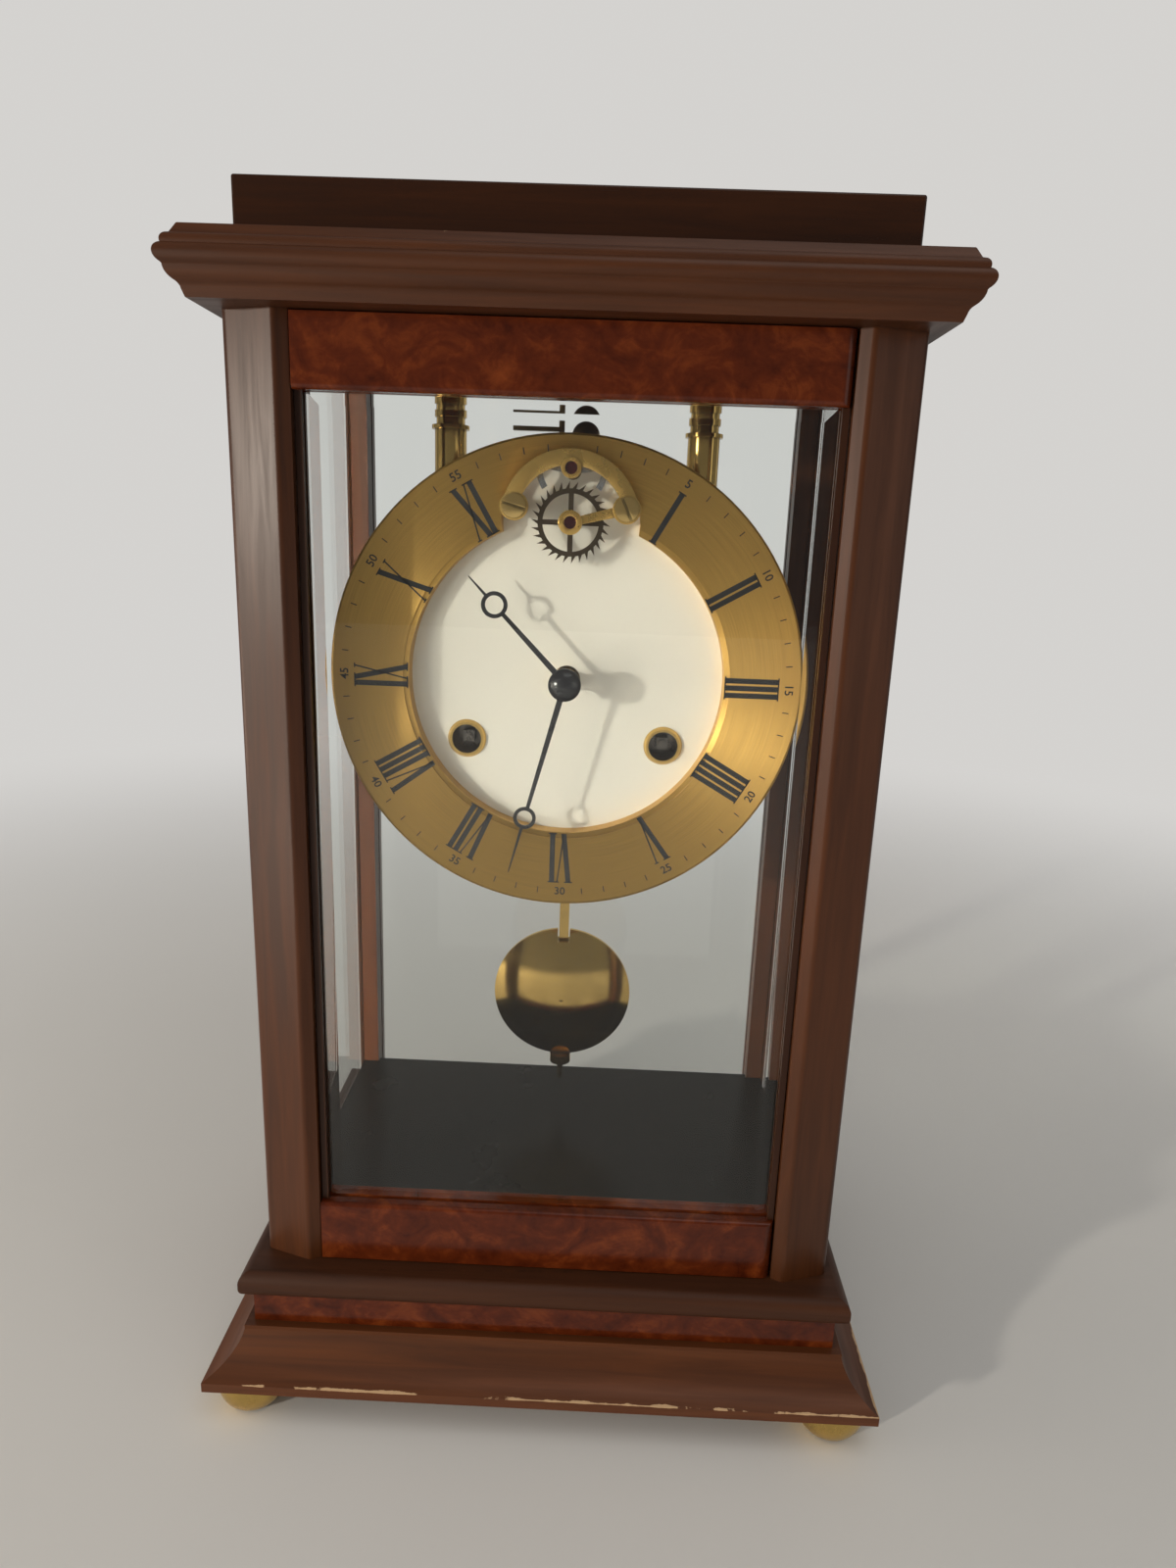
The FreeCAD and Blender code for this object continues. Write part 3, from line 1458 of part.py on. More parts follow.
def rating_nut():
    high = hub_z + bob_z - bob_radius
    low = high - rating_nut_height
    r = rating_nut_radius
    body = column(0, pendulum_y, r, low, high)
    neck = Part.makeCone(rating_neck_low_radius, rating_neck_top_radius, rating_neck_height,
                         Vector(0, pendulum_y, low - rating_neck_height))
    return fused([body, neck]).cut(column(0, pendulum_y, rating_screw_radius, low - rating_nut_height, high))


def main():
    nodes = {
        "base_skirt": base_skirt(), "base_band": base_band(), "base_plate": base_plate(), "feet": feet(),
        "floor_board": floor_board(), "front_posts": front_posts(), "rear_posts": rear_posts(),
        "case_rails": case_rails(), "case_glasses": case_glasses(), "cornice": cornice(),
        "top_block": top_block(), "door_rails": door_rails(), "door_stiles": door_stiles(),
        "front_glass": front_glass(),
        "door_hinge_pins": door_hinge_pins(), "hanging_pillars": hanging_pillars(),
        "hanger_blocks": hanger_blocks(), "front_plate": front_plate(), "back_plate": back_plate(),
        "plate_pillars": plate_pillars(), "dial_ring": dial_ring(), "centre_dial": centre_dial(),
        "dial_feet": dial_feet(), "winding_grommets": winding_grommets(), "bridge_posts": bridge_posts(),
        "escapement_bridge": escapement_bridge(), "escape_cock": escape_cock(), "jewels": jewels(),
        "bridge_screws": bridge_screws(), "escape_wheel": escape_wheel(), "escape_arbor": escape_arbor(),
        "pallet_anchor": pallet_anchor(), "pallet_arbor": pallet_arbor(), "minute_hand": minute_hand(),
        "hour_hand": hour_hand(), "hand_nut": hand_nut(), "centre_wheel": centre_wheel(),
        "third_wheel": third_wheel(), "second_wheel": second_wheel(),
        "going_barrel": barrel(going_place, great_module),
        "strike_barrel": barrel(strike_place, pin_great_module),
        "going_winding_arbor": winding_arbor(going_place),
        "strike_winding_arbor": winding_arbor(strike_place),
        "going_click": click(going_place, 1), "strike_click": click(strike_place, -1),
        "cannon_pinion": cannon_pinion(), "minute_wheel": minute_wheel(), "hour_wheel": hour_wheel(),
        "pin_wheel": pin_wheel(), "warning_wheel": warning_wheel(), "fly": fly(), "hammer": hammer(),
        "bell": bell(), "bell_stand": bell_stand(), "back_cock": back_cock(),
        "suspension_spring": suspension_spring(), "pendulum_rod": pendulum_rod(),
        "pendulum_bob": pendulum_bob(), "rating_nut": rating_nut()}
    os.makedirs("parts", exist_ok=True)
    for name, shape in nodes.items():
        shape.exportStep("parts/" + name + ".step")
    return nodes


main()
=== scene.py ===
import math

import bmesh
import bpy
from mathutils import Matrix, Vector


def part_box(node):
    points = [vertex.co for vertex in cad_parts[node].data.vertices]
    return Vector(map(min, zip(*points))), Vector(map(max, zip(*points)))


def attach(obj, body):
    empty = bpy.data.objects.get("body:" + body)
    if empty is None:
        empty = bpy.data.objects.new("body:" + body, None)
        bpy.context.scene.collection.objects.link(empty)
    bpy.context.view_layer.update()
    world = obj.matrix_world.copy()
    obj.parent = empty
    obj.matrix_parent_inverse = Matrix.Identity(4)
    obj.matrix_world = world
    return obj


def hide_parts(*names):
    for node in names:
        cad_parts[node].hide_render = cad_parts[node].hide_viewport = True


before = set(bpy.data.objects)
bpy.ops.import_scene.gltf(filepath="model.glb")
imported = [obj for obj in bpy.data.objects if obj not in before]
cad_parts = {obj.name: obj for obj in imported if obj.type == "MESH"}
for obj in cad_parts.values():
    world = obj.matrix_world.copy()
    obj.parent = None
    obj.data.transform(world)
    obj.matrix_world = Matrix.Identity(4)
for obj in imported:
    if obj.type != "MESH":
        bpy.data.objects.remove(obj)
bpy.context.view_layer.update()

# Desk pendulum clock: finishes, polished edges, printed dial, studio and camera.
# The frame's places are in metres, so the sizes here are millimetres times mm. Angles are in degrees.
mm = 0.001


def box_of(name):
    """Low and high corner of a node's box."""
    return tuple(Vector(corner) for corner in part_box(name))


# Camera at the photograph's place
camera_place = (12.8 * mm, -324.9 * mm, 281.3 * mm)
camera_tilt = 76.03
camera_roll = -2.04
camera_turn = 1.46
camera_lens = 22.07
camera_sensor = 36.0
camera_aspect = 0.75
camera_clip = 0.01

# Dial, from the frame
ring_low, ring_high = box_of("dial_ring")
dial_centre = (ring_low + ring_high) / 2
dial_radius = (ring_high.x - ring_low.x) / 2
dial_face = ring_low.y
escape_low, escape_high = box_of("escape_wheel")
escape_rise = (escape_low.z + escape_high.z) / 2 - dial_centre.z
opening_reach = 20.5 * mm
ring_opening = 48.3 * mm
ring_rim = 1.6 * mm
ring_edge = 0.6 * mm
ring_relief = 0.45 * mm

# Brushing of the ring: how fine it is across its lines and along them
brush_lines = 3200.0
brush_turns = 2.0

# Printed dial, in shares of its radius
numeral_foot = 0.675
numeral_head = 0.90
tick_foot = 0.930
tick_head = 0.957
digit_middle = 0.943
hour_turn = 30.0
minute_turn = 6.0

# Printed strokes
print_thickness = 0.04 * mm
thick_stroke = 1.62 * mm
thin_stroke = 0.46 * mm
serif_stroke = 0.40 * mm
serif_overhang = 0.46 * mm
slant_width = 3.6 * mm
letter_gap = 0.62 * mm
slant_gap = 0.10 * mm
tick_width = 0.30 * mm
digit_height = 2.5 * mm
digit_font_share = 0.7
digit_weight = 0.05 * mm

roman_letters = {1: "I", 2: "II", 3: "III", 4: "IIII", 5: "V", 6: "VI", 7: "VII", 8: "VIII", 9: "IX", 10: "X", 11: "XI"}

# Polished edges of the escapement's brass
edge_widths = {"escapement_bridge": 0.55 * mm, "escape_cock": 0.35 * mm, "bridge_screws": 0.22 * mm}
edge_segments = 3
weld_distance = 0.001 * mm
flat_angle = 1
sharp_angle = 50
crease_angle = 32

# Worn edges: above the foot of the bottom moulding, and in shares of the cornice's height
skirt_wear_rise = 3.3 * mm
crown_wear_shares = (0.56, 0.985)

# Colours
mahogany_dark = (0.042, 0.0125, 0.0036)
mahogany_light = (0.088, 0.0270, 0.0080)
burl_dark = (0.046, 0.0070, 0.0016)
burl_middle = (0.098, 0.0165, 0.0034)
burl_light = (0.190, 0.040, 0.0080)
worn_wood = (0.58, 0.38, 0.21)
polished_brass = (0.74, 0.49, 0.16)
brushed_brass = (0.64, 0.395, 0.115)
gilt_brass = (0.84, 0.54, 0.17)
screw_brass = (0.90, 0.62, 0.24)
foot_brass = (0.62, 0.42, 0.13)
aged_brass = (0.23, 0.165, 0.085)
dark_bronze = (0.115, 0.088, 0.062)
polished_steel = (0.56, 0.56, 0.57)
aged_steel = (0.20, 0.18, 0.16)
dial_white = (0.79, 0.76, 0.69)
hand_black = (0.010, 0.010, 0.012)
lacquer_black = (0.0050, 0.0034, 0.0022)
ruby_red = (0.022, 0.0015, 0.0020)
pane_clear = (0.97, 0.99, 0.98)
pane_shadow = (0.95, 0.97, 0.96)
floor_pale = (0.80, 0.79, 0.77)
background_pale = (1.0, 0.98, 0.95)

# Finish
wood_specular = 0.30
# Painted shade for metal: how far the darkening in corners and recesses reaches, and the share of the colour left where
# it is darkest
recess_shade_reach = 1.2 * mm
recess_shade_share = 0.12
pane_index = 1.36  # below real glass, to keep down what the panes mirror of the pale floor

# Background, as the camera and metal see it, and the light from the world
background_glow = 0.66
mirrored_glow = 0.16
mirrored_floor_share = 0.4
floor_fade = (0.22, 1.1)
light_from_above = (0.05, 0.34)
light_from_left = 0.12

# Backdrop in metres: half its width, its front end, the wall's place, the bend between floor and wall, and its height
backdrop_reach = 5.0
backdrop_front = -3.0
backdrop_wall = 2.4
backdrop_bend = 1.2
backdrop_height = 5.0
backdrop_steps = 16

lamps = {
    "key": {"place": (-1.20, -1.00, 0.38), "size": 0.06, "power": 11.5, "colour": (1.0, 0.92, 0.80)},
    "side": {"place": (-0.95, -0.25, 0.12), "size": 0.35, "power": 2.2, "colour": (1.0, 0.88, 0.74),
             "aim": (0.0, 0.0, 0.2)},
    "glint": {"place": (-0.49, -0.48, 0.04), "size": 0.06, "power": 0.048, "colour": (1.0, 0.90, 0.76),
              "aim": (0.0, 0.0, 0.17), "spread": 50.0},
    "overhead": {"place": (0.3, -0.5, 1.6), "size": 1.0, "power": 3.2, "colour": (1.0, 0.97, 0.92)},
    "fill": {"place": (1.3, -0.9, 0.5), "size": 0.8, "power": 1.2, "colour": (1.0, 0.97, 0.93)}}


# Node helpers
def surface(name, **values):
    """New material with one Principled shader: its tree and that shader.

    A socket that is linked later keeps its value here for tools that read no textures.
    """
    material = bpy.data.materials.new(name)
    material.use_nodes = True
    tree = material.node_tree
    principled = tree.nodes["Principled BSDF"]
    for key, value in values.items():
        socket = principled.inputs[key.replace("_", " ").title().replace("Ior", "IOR")]
        socket.default_value = (*value, 1.0) if isinstance(value, tuple) else value
    return material, tree, principled


def add(tree, kind, inputs=None, **settings):
    """New node, with its inputs linked where they are sockets and set where they are values."""
    made = tree.nodes.new("ShaderNode" + kind)
    for key, value in settings.items():
        setattr(made, key, value)
    for key, value in (inputs or {}).items():
        if isinstance(value, bpy.types.NodeSocket):
            tree.links.new(value, made.inputs[key])
        else:
            made.inputs[key].default_value = value
    return made


def maths(tree, operation, *values):
    return add(tree, "Math", dict(enumerate(values)), operation=operation).outputs[0]


def places(tree, scale=(1.0, 1.0, 1.0)):
    """Places on the object, stretched: a low scale along an axis makes long grain there."""
    coordinates = add(tree, "TexCoord").outputs["Object"]
    return add(tree, "Mapping", {"Vector": coordinates, "Scale": scale}).outputs["Vector"]


def noise(tree, vector, scale, detail=4.0, roughness=0.55, distortion=0.0):
    inputs = {"Vector": vector, "Scale": scale, "Detail": detail, "Roughness": roughness, "Distortion": distortion}
    return add(tree, "TexNoise", inputs).outputs["Fac"]


def ramp(tree, value, *stops):
    """Colour by value, from stops of a position and a colour."""
    made = add(tree, "ValToRGB", {"Fac": value})
    elements = made.color_ramp.elements
    while len(elements) < len(stops):
        elements.new(0.5)
    for element, (position, colour) in zip(elements, stops):
        element.position = position
        element.color = (*colour, 1.0)
    return made.outputs["Color"]


def span(tree, value, reach, result=(0.0, 1.0), **settings):
    """Value mapped from its reach to the result's, and held at the ends."""
    inputs = {"Value": value, "From Min": reach[0], "From Max": reach[1], "To Min": result[0], "To Max": result[1]}
    return add(tree, "MapRange", inputs, **settings).outputs["Result"]


def blend(tree, factor, first, second):
    return add(tree, "Mix", {0: factor, 6: first, 7: second}, data_type="RGBA").outputs[2]


def weigh(tree, first, second, share):
    """Mix of two values, with the first one's share."""
    return maths(tree, "ADD", maths(tree, "MULTIPLY", first, share), maths(tree, "MULTIPLY", second, 1.0 - share))


def mix_shaders(tree, factor, first, second):
    """Shows a mix of two shaders as the material."""
    mixed = add(tree, "MixShader", {0: factor, 1: first.outputs[0], 2: second.outputs[0]})
    tree.links.new(mixed.outputs[0], tree.nodes["Material Output"].inputs["Surface"])


def bump(tree, principled, height, strength, distance):
    made = add(tree, "Bump", {"Height": height, "Strength": strength, "Distance": distance})
    tree.links.new(made.outputs["Normal"], principled.inputs["Normal"])


def facing(tree, axis):
    """How far a face looks along an axis, whichever way."""
    normal = add(tree, "SeparateXYZ", {"Vector": add(tree, "NewGeometry").outputs["Normal"]})
    return maths(tree, "ABSOLUTE", normal.outputs[axis])


def grain_places(tree, grain, fine, long):
    """Places whose grain runs up the piece, or along each face of a piece that goes round the case."""
    if grain == "up":
        return places(tree, (fine, fine, long))
    side = maths(tree, "GREATER_THAN", facing(tree, "X"), facing(tree, "Y"))
    along_front = places(tree, (long, fine, fine))
    along_side = places(tree, (fine, long, fine))
    return add(tree, "Mix", {0: side, 4: along_front, 5: along_side}, data_type="VECTOR").outputs[1]


def shaded(colour, share):
    return tuple(value * share for value in colour)


# Wood
def worn_lines(tree, colour, heights, width, share):
    """Pale rubbed lines and chips, now wide and now thin, along the edges at the given heights."""
    place = add(tree, "SeparateXYZ", {"Vector": add(tree, "TexCoord").outputs["Object"]})
    spots = noise(tree, places(tree), 26.0, detail=6.0, roughness=0.70)
    spotted = span(tree, spots, (share, share + 0.02))
    uneven = noise(tree, places(tree), 110.0, detail=4.0, roughness=0.6)
    reach = maths(tree, "MULTIPLY", span(tree, uneven, (0.42, 0.66), (0.25, 1.0)), width)
    for height in heights:
        offset = maths(tree, "ABSOLUTE", maths(tree, "SUBTRACT", place.outputs["Z"], height))
        near = maths(tree, "LESS_THAN", offset, reach)
        colour = blend(tree, maths(tree, "MULTIPLY", near, spotted), colour, (*worn_wood, 1.0))
    return colour


def mahogany(name, grain, shade=1.0, roughness=0.40, worn=(), worn_width=0.4 * mm, worn_share=0.60):
    material, tree, principled = surface(name, specular_ior_level=wood_specular)
    vector = grain_places(tree, grain, fine=1.0, long=0.06)
    streaks = noise(tree, vector, 260.0, detail=6.0, roughness=0.6, distortion=0.6)
    broad = noise(tree, vector, 34.0, detail=3.0, roughness=0.5, distortion=0.4)
    figure = weigh(tree, streaks, broad, 0.55)
    colour = ramp(tree, figure, (0.36, shaded(mahogany_dark, shade)), (0.64, shaded(mahogany_light, shade)))
    if worn:
        colour = worn_lines(tree, colour, worn, worn_width, worn_share)
    tree.links.new(colour, principled.inputs["Base Color"])
    gloss = span(tree, streaks, (0.3, 0.7), (roughness + 0.08, roughness - 0.05))
    tree.links.new(gloss, principled.inputs["Roughness"])
    pores = noise(tree, grain_places(tree, grain, fine=1.0, long=0.1), 1500.0, detail=2.0)
    bump(tree, principled, pores, strength=0.05, distance=0.05 * mm)
    return material


def burl(name):
    material, tree, principled = surface(name, roughness=0.20, specular_ior_level=wood_specular)
    vector = places(tree, (1.0, 1.0, 1.25))
    clouds = noise(tree, vector, 55.0, detail=7.0, roughness=0.60, distortion=1.8)
    curl = noise(tree, vector, 190.0, detail=5.0, roughness=0.6, distortion=1.6)
    figure = weigh(tree, clouds, curl, 0.7)
    colour = ramp(tree, figure, (0.34, burl_dark), (0.52, burl_middle), (0.70, burl_light))
    tree.links.new(colour, principled.inputs["Base Color"])
    return material


def black_lacquer():
    material, tree, principled = surface(
        "floor_lacquer", base_color=lacquer_black, roughness=0.22, specular_ior_level=0.12)
    haze = noise(tree, places(tree), 30.0, detail=4.0)
    tree.links.new(span(tree, haze, (0.3, 0.7), (0.16, 0.30)), principled.inputs["Roughness"])
    return material


# Metal
def polished(name, colour, roughness=0.13, spread=0.06):
    """Metal that is cloudy in places, with painted shade darkening its corners and recesses."""
    material, tree, principled = surface(name, base_color=colour, metallic=1.0, roughness=roughness)
    clouds = noise(tree, places(tree), 120.0, detail=5.0, roughness=0.6)
    gloss = span(tree, clouds, (0.3, 0.75), (roughness - spread / 2, roughness + spread))
    tree.links.new(gloss, principled.inputs["Roughness"])
    # Painted shade: the base colour goes dark where ambient occlusion finds other surfaces close by, in corners, slots
    # and recesses
    open_share = add(tree, "AmbientOcclusion", {"Distance": recess_shade_reach}, samples=6).outputs["AO"]
    unshaded = ramp(tree, clouds, (0.35, colour), (0.75, shaded(colour, 0.80)))
    painted_recess_shade = (*shaded(colour, recess_shade_share), 1.0)
    shown = blend(tree, span(tree, open_share, (0.35, 0.85)), painted_recess_shade, unshaded)
    tree.links.new(shown, principled.inputs["Base Color"])
    return material


def turned_brass():
    """Dial ring brushed round its centre, so that its highlights run out along the radius."""
    material, tree, principled = surface(
        "turned_brass", base_color=brushed_brass, metallic=1.0, roughness=0.30, anisotropic=0.90,
        anisotropic_rotation=0.25)
    tangent = add(tree, "Tangent", direction_type="RADIAL", axis="Y")
    tree.links.new(tangent.outputs["Tangent"], principled.inputs["Tangent"])
    place = add(tree, "TexCoord").outputs["Object"]
    centred = add(tree, "VectorMath", {0: place, 1: tuple(dial_centre)}, operation="SUBTRACT").outputs["Vector"]
    parts = add(tree, "SeparateXYZ", {"Vector": centred})
    squares = [maths(tree, "POWER", parts.outputs[axis], 2.0) for axis in ("X", "Z")]
    radius = maths(tree, "SQRT", maths(tree, "ADD", *squares))
    angle = maths(tree, "ARCTAN2", parts.outputs["Z"], parts.outputs["X"])
    lines = add(tree, "CombineXYZ", {
        "X": maths(tree, "MULTIPLY", radius, brush_lines), "Y": maths(tree, "MULTIPLY", angle, brush_turns)})
    brushing = noise(tree, lines.outputs["Vector"], 1.0, detail=3.0, roughness=0.7)
    colour = ramp(tree, brushing, (0.3, shaded(brushed_brass, 0.86)), (0.7, shaded(brushed_brass, 1.08)))
    tree.links.new(colour, principled.inputs["Base Color"])
    tree.links.new(span(tree, brushing, (0.3, 0.7), (0.36, 0.46)), principled.inputs["Roughness"])
    inner_rim = span(tree, radius, (ring_opening, ring_opening + ring_rim))
    outer_rim = span(tree, radius, (dial_radius - ring_edge, dial_radius), (0.0, -1.0))
    height = maths(tree, "ADD", maths(tree, "ADD", inner_rim, outer_rim), maths(tree, "MULTIPLY", brushing, 0.04))
    bump(tree, principled, height, strength=1.0, distance=ring_relief)
    return material


# Glass, paint and stone
def clear_glass():
    """Bevelled pane: lamps reach what stands behind it."""
    material, tree, principled = surface(
        "clear_glass", base_color=pane_clear, roughness=0.0, transmission_weight=1.0, ior=pane_index)
    clear = add(tree, "BsdfTransparent", {"Color": (*pane_shadow, 1.0)})
    mix_shaders(tree, add(tree, "LightPath").outputs["Is Shadow Ray"], principled, clear)
    return material


def white_paint():
    """White plate whose upright wall shows the bare brass."""
    material, tree, principled = surface("dial_white", roughness=0.42, specular_ior_level=0.35)
    grain = noise(tree, places(tree), 900.0, detail=3.0)
    bump(tree, principled, grain, strength=0.05, distance=0.02 * mm)
    broad = noise(tree, places(tree), 25.0, detail=3.0)
    paint = ramp(tree, broad, (0.3, shaded(dial_white, 0.97)), (0.7, dial_white))
    upright = maths(tree, "LESS_THAN", facing(tree, "Y"), 0.5)
    tree.links.new(blend(tree, upright, paint, (*brushed_brass, 1.0)), principled.inputs["Base Color"])
    tree.links.new(upright, principled.inputs["Metallic"])
    return material


def black_satin(name, roughness):
    material, tree, principled = surface(
        name, base_color=hand_black, roughness=roughness, coat_weight=0.4, coat_roughness=0.2)
    clouds = noise(tree, places(tree), 400.0, detail=4.0)
    gloss = span(tree, clouds, (0.3, 0.7), (roughness - 0.06, roughness + 0.10))
    tree.links.new(gloss, principled.inputs["Roughness"])
    return material


def ruby():
    material, tree, principled = surface(
        "ruby", base_color=ruby_red, roughness=0.06, coat_weight=1.0, coat_roughness=0.03)
    depth = noise(tree, places(tree), 600.0, detail=2.0)
    colour = ramp(tree, depth, (0.3, ruby_red), (0.8, shaded(ruby_red, 1.8)))
    tree.links.new(colour, principled.inputs["Base Color"])
    return material


def finish_nodes():
    """Puts a material on every node of the frame."""
    skirt_foot = box_of("base_skirt")[0].z
    crown_low, crown_high = (corner.z for corner in box_of("cornice"))
    skirt_edges = (skirt_foot + skirt_wear_rise,)
    crown_edges = tuple(crown_low + share * (crown_high - crown_low) for share in crown_wear_shares)
    brass = polished("bright_brass", polished_brass)
    dark_steel = polished("dark_steel", aged_steel, roughness=0.24, spread=0.08)
    gilt = polished("gilt_brass", gilt_brass, roughness=0.26, spread=0.08)
    steel = polished("steel", polished_steel, roughness=0.22, spread=0.08)
    veneer = burl("burl")
    glass = clear_glass()
    upright = mahogany("mahogany_upright", "up", shade=1.1, roughness=0.34)
    black = black_satin("hand_black", roughness=0.30)
    chosen = {
        "base_skirt": mahogany("mahogany_skirt", "round", shade=1.45, worn=skirt_edges, worn_width=0.36 * mm,
                               worn_share=0.46),
        "base_plate": mahogany("mahogany_plate", "round", shade=0.75, roughness=0.5),
        "cornice": mahogany("mahogany_cornice", "round", worn=crown_edges, worn_width=0.7 * mm, worn_share=0.62),
        "top_block": mahogany("mahogany_block", "round", shade=0.5, roughness=0.22),
        "base_band": veneer, "case_rails": veneer, "door_rails": veneer,
        "front_posts": upright, "rear_posts": upright, "door_stiles": mahogany("mahogany_stile", "up", shade=0.5),
        "floor_board": black_lacquer(), "feet": polished("foot_brass", foot_brass, roughness=0.24, spread=0.12),
        "case_glasses": glass, "front_glass": glass,
        "dial_ring": turned_brass(), "centre_dial": white_paint(),
        "minute_hand": black, "hour_hand": black, "hand_nut": black_satin("nut_black", roughness=0.18),
        "back_cock": polished("aged_brass", aged_brass, roughness=0.30, spread=0.1),
        "escapement_bridge": gilt, "escape_cock": gilt,
        "bridge_screws": polished("screw_brass", screw_brass, roughness=0.16),
        "going_winding_arbor": dark_steel, "strike_winding_arbor": dark_steel,
        "escape_wheel": polished("dark_bronze", dark_bronze, roughness=0.34, spread=0.12), "jewels": ruby()}
    steel_nodes = {
        "door_hinge_pins", "escape_arbor", "pallet_anchor", "pallet_arbor", "going_click", "strike_click",
        "cannon_pinion", "fly", "hammer", "bell_stand", "suspension_spring"}
    for name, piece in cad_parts.items():
        piece.data.materials.clear()
        piece.data.materials.append(chosen.get(name, steel if name in steel_nodes else brass))


# Pieces of the scene
def placed(name, data):
    """New object in the scene."""
    made = bpy.data.objects.new(name, data)
    bpy.context.collection.objects.link(made)
    return made


def dress(piece, body, material):
    piece.data.materials.clear()
    piece.data.materials.append(material)
    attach(piece, body)


def bevelled(name, width):
    """Stands for a brass piece of the escapement, with its sharp edges broken and polished."""
    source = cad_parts[name]
    mesh = source.data.copy()
    work = bmesh.new()
    work.from_mesh(mesh)
    bmesh.ops.remove_doubles(work, verts=work.verts, dist=weld_distance)
    bmesh.ops.dissolve_limit(work, angle_limit=math.radians(flat_angle), verts=work.verts, edges=work.edges)
    sharp = [edge for edge in work.edges
             if len(edge.link_faces) == 2 and edge.calc_face_angle() > math.radians(sharp_angle)]
    bmesh.ops.bevel(
        work, geom=sharp, offset=width, segments=edge_segments, profile=0.5, affect="EDGES", clamp_overlap=True)
    work.to_mesh(mesh)
    work.free()
    mesh.shade_smooth()
    mesh.set_sharp_from_angle(angle=math.radians(crease_angle))
    piece = placed(f"{name}_polished", mesh)
    dress(piece, "case", source.data.materials[0])
    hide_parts(name)


# Printed dial
def dial_point(turn, across, reach):
    """Place on the dial's face: turn from 12 in degrees clockwise, then across and out from the centre."""
    angle = math.radians(turn)
    x = dial_centre.x + reach * math.sin(angle) + across * math.cos(angle)
    z = dial_centre.z + reach * math.cos(angle) - across * math.sin(angle)
    return (x, dial_face, z)


def dial_outline(turn, middle, corners):
    """Corners given across from a middle line and out from the centre, as places on the dial's face."""
    return [dial_point(turn, middle + across, reach) for across, reach in corners]


def printed_piece(name, outlines):
    """Thin printed shapes on the dial's face, from outlines of four corners each."""
    points, faces = [], []
    for outline in outlines:
        start = len(points)
        count = len(outline)
        points += [(x, y - print_thickness, z) for x, y, z in outline]
        points += [(x, y + print_thickness, z) for x, y, z in outline]
        faces.append(list(range(start, start + count)))
        faces.append(list(range(start + 2 * count - 1, start + count - 1, -1)))
        for index in range(count):
            after = (index + 1) % count
            faces.append([start + after, start + index, start + count + index, start + count + after])
    mesh = bpy.data.meshes.new(name)
    mesh.from_pydata(points, [], faces)
    mesh.validate()
    return placed(name, mesh)


def letter_strokes(letter):
    """Strokes of a letter (place at the foot, place at the head, width), and the letter's whole width."""
    if letter == "I":
        return [(0, 0, thick_stroke)], thick_stroke
    half = slant_width / 2
    if letter == "V":
        return [(0, -half, thick_stroke), (0, half, thin_stroke)], slant_width + thick_stroke
    return [(half, -half, thick_stroke), (-half, half, thin_stroke)], slant_width + thick_stroke


def gap_between(first, second):
    return letter_gap if first == second == "I" else slant_gap


def roman_numeral(turn, letters):
    """Outlines of a numeral whose foot is towards the dial's centre."""
    foot, head = numeral_foot * dial_radius, numeral_head * dial_radius
    widths = [letter_strokes(letter)[1] for letter in letters]
    gaps = [gap_between(first, second) for first, second in zip(letters, letters[1:])] + [0]
    at = -(sum(widths) + sum(gaps)) / 2
    outlines = []
    for letter, width, gap in zip(letters, widths, gaps):
        middle = at + width / 2
        for start, end, stroke in letter_strokes(letter)[0]:
            half = stroke / 2
            corners = [(start - half, foot), (start + half, foot), (end + half, head), (end - half, head)]
            outlines.append(dial_outline(turn, middle, corners))
            serifs = [(end, head)] if letter == "V" else [(start, foot), (end, head)]
            for place, reach in serifs:
                wide = half + serif_overhang
                low, high = reach - serif_stroke / 2, reach + serif_stroke / 2
                bar = [(place - wide, low), (place + wide, low), (place + wide, high), (place - wide, high)]
                outlines.append(dial_outline(turn, middle, bar))
        at += width + gap
    return outlines


def minute_ticks():
    """Outlines of the ticks between the figures, without those that the escapement's opening takes away."""
    foot, head, half = tick_foot * dial_radius, tick_head * dial_radius, tick_width / 2
    outlines = []
    for minute in range(60):
        turn = minute_turn * minute
        place = Vector(dial_point(turn, 0, foot))
        from_escapement = math.hypot(place.x - dial_centre.x, place.z - dial_centre.z - escape_rise)
        if minute % 5 == 0 or from_escapement < opening_reach:
            continue
        outlines.append(dial_outline(turn, 0, [(-half, foot), (half, foot), (half, head), (-half, head)]))
    return outlines


def minute_digits(black):
    """Small plain figures at the five-minute places. Those of the lower half are turned to read upright."""
    for minute in range(5, 60, 5):
        text = bpy.data.curves.new("digits", "FONT")
        text.body = str(minute)
        text.size = digit_height / digit_font_share
        text.extrude = print_thickness
        text.offset = digit_weight
        text.resolution_u = 3
        text.align_x = "CENTER"
        text.align_y = "CENTER"
        holder = placed("digits", text)
        mesh = bpy.data.meshes.new_from_object(holder.evaluated_get(bpy.context.evaluated_depsgraph_get()))
        bpy.data.objects.remove(holder)
        turn = minute_turn * minute
        way = -1 if 15 < minute < 45 else 1
        for vertex in mesh.vertices:
            x, y, z = dial_point(turn, way * vertex.co.x, digit_middle * dial_radius + way * vertex.co.y)
            vertex.co = (x, y - vertex.co.z, z)
        dress(placed(f"minute_figure_{minute}", mesh), "case", black)


def printed_dial():
    black = black_satin("dial_print", roughness=0.4)
    outlines = []
    for hour, letters in roman_letters.items():
        outlines += roman_numeral(hour_turn * hour, letters)
    dress(printed_piece("hour_numerals", outlines), "case", black)
    dress(printed_piece("minute_marks", minute_ticks()), "case", black)
    minute_digits(black)


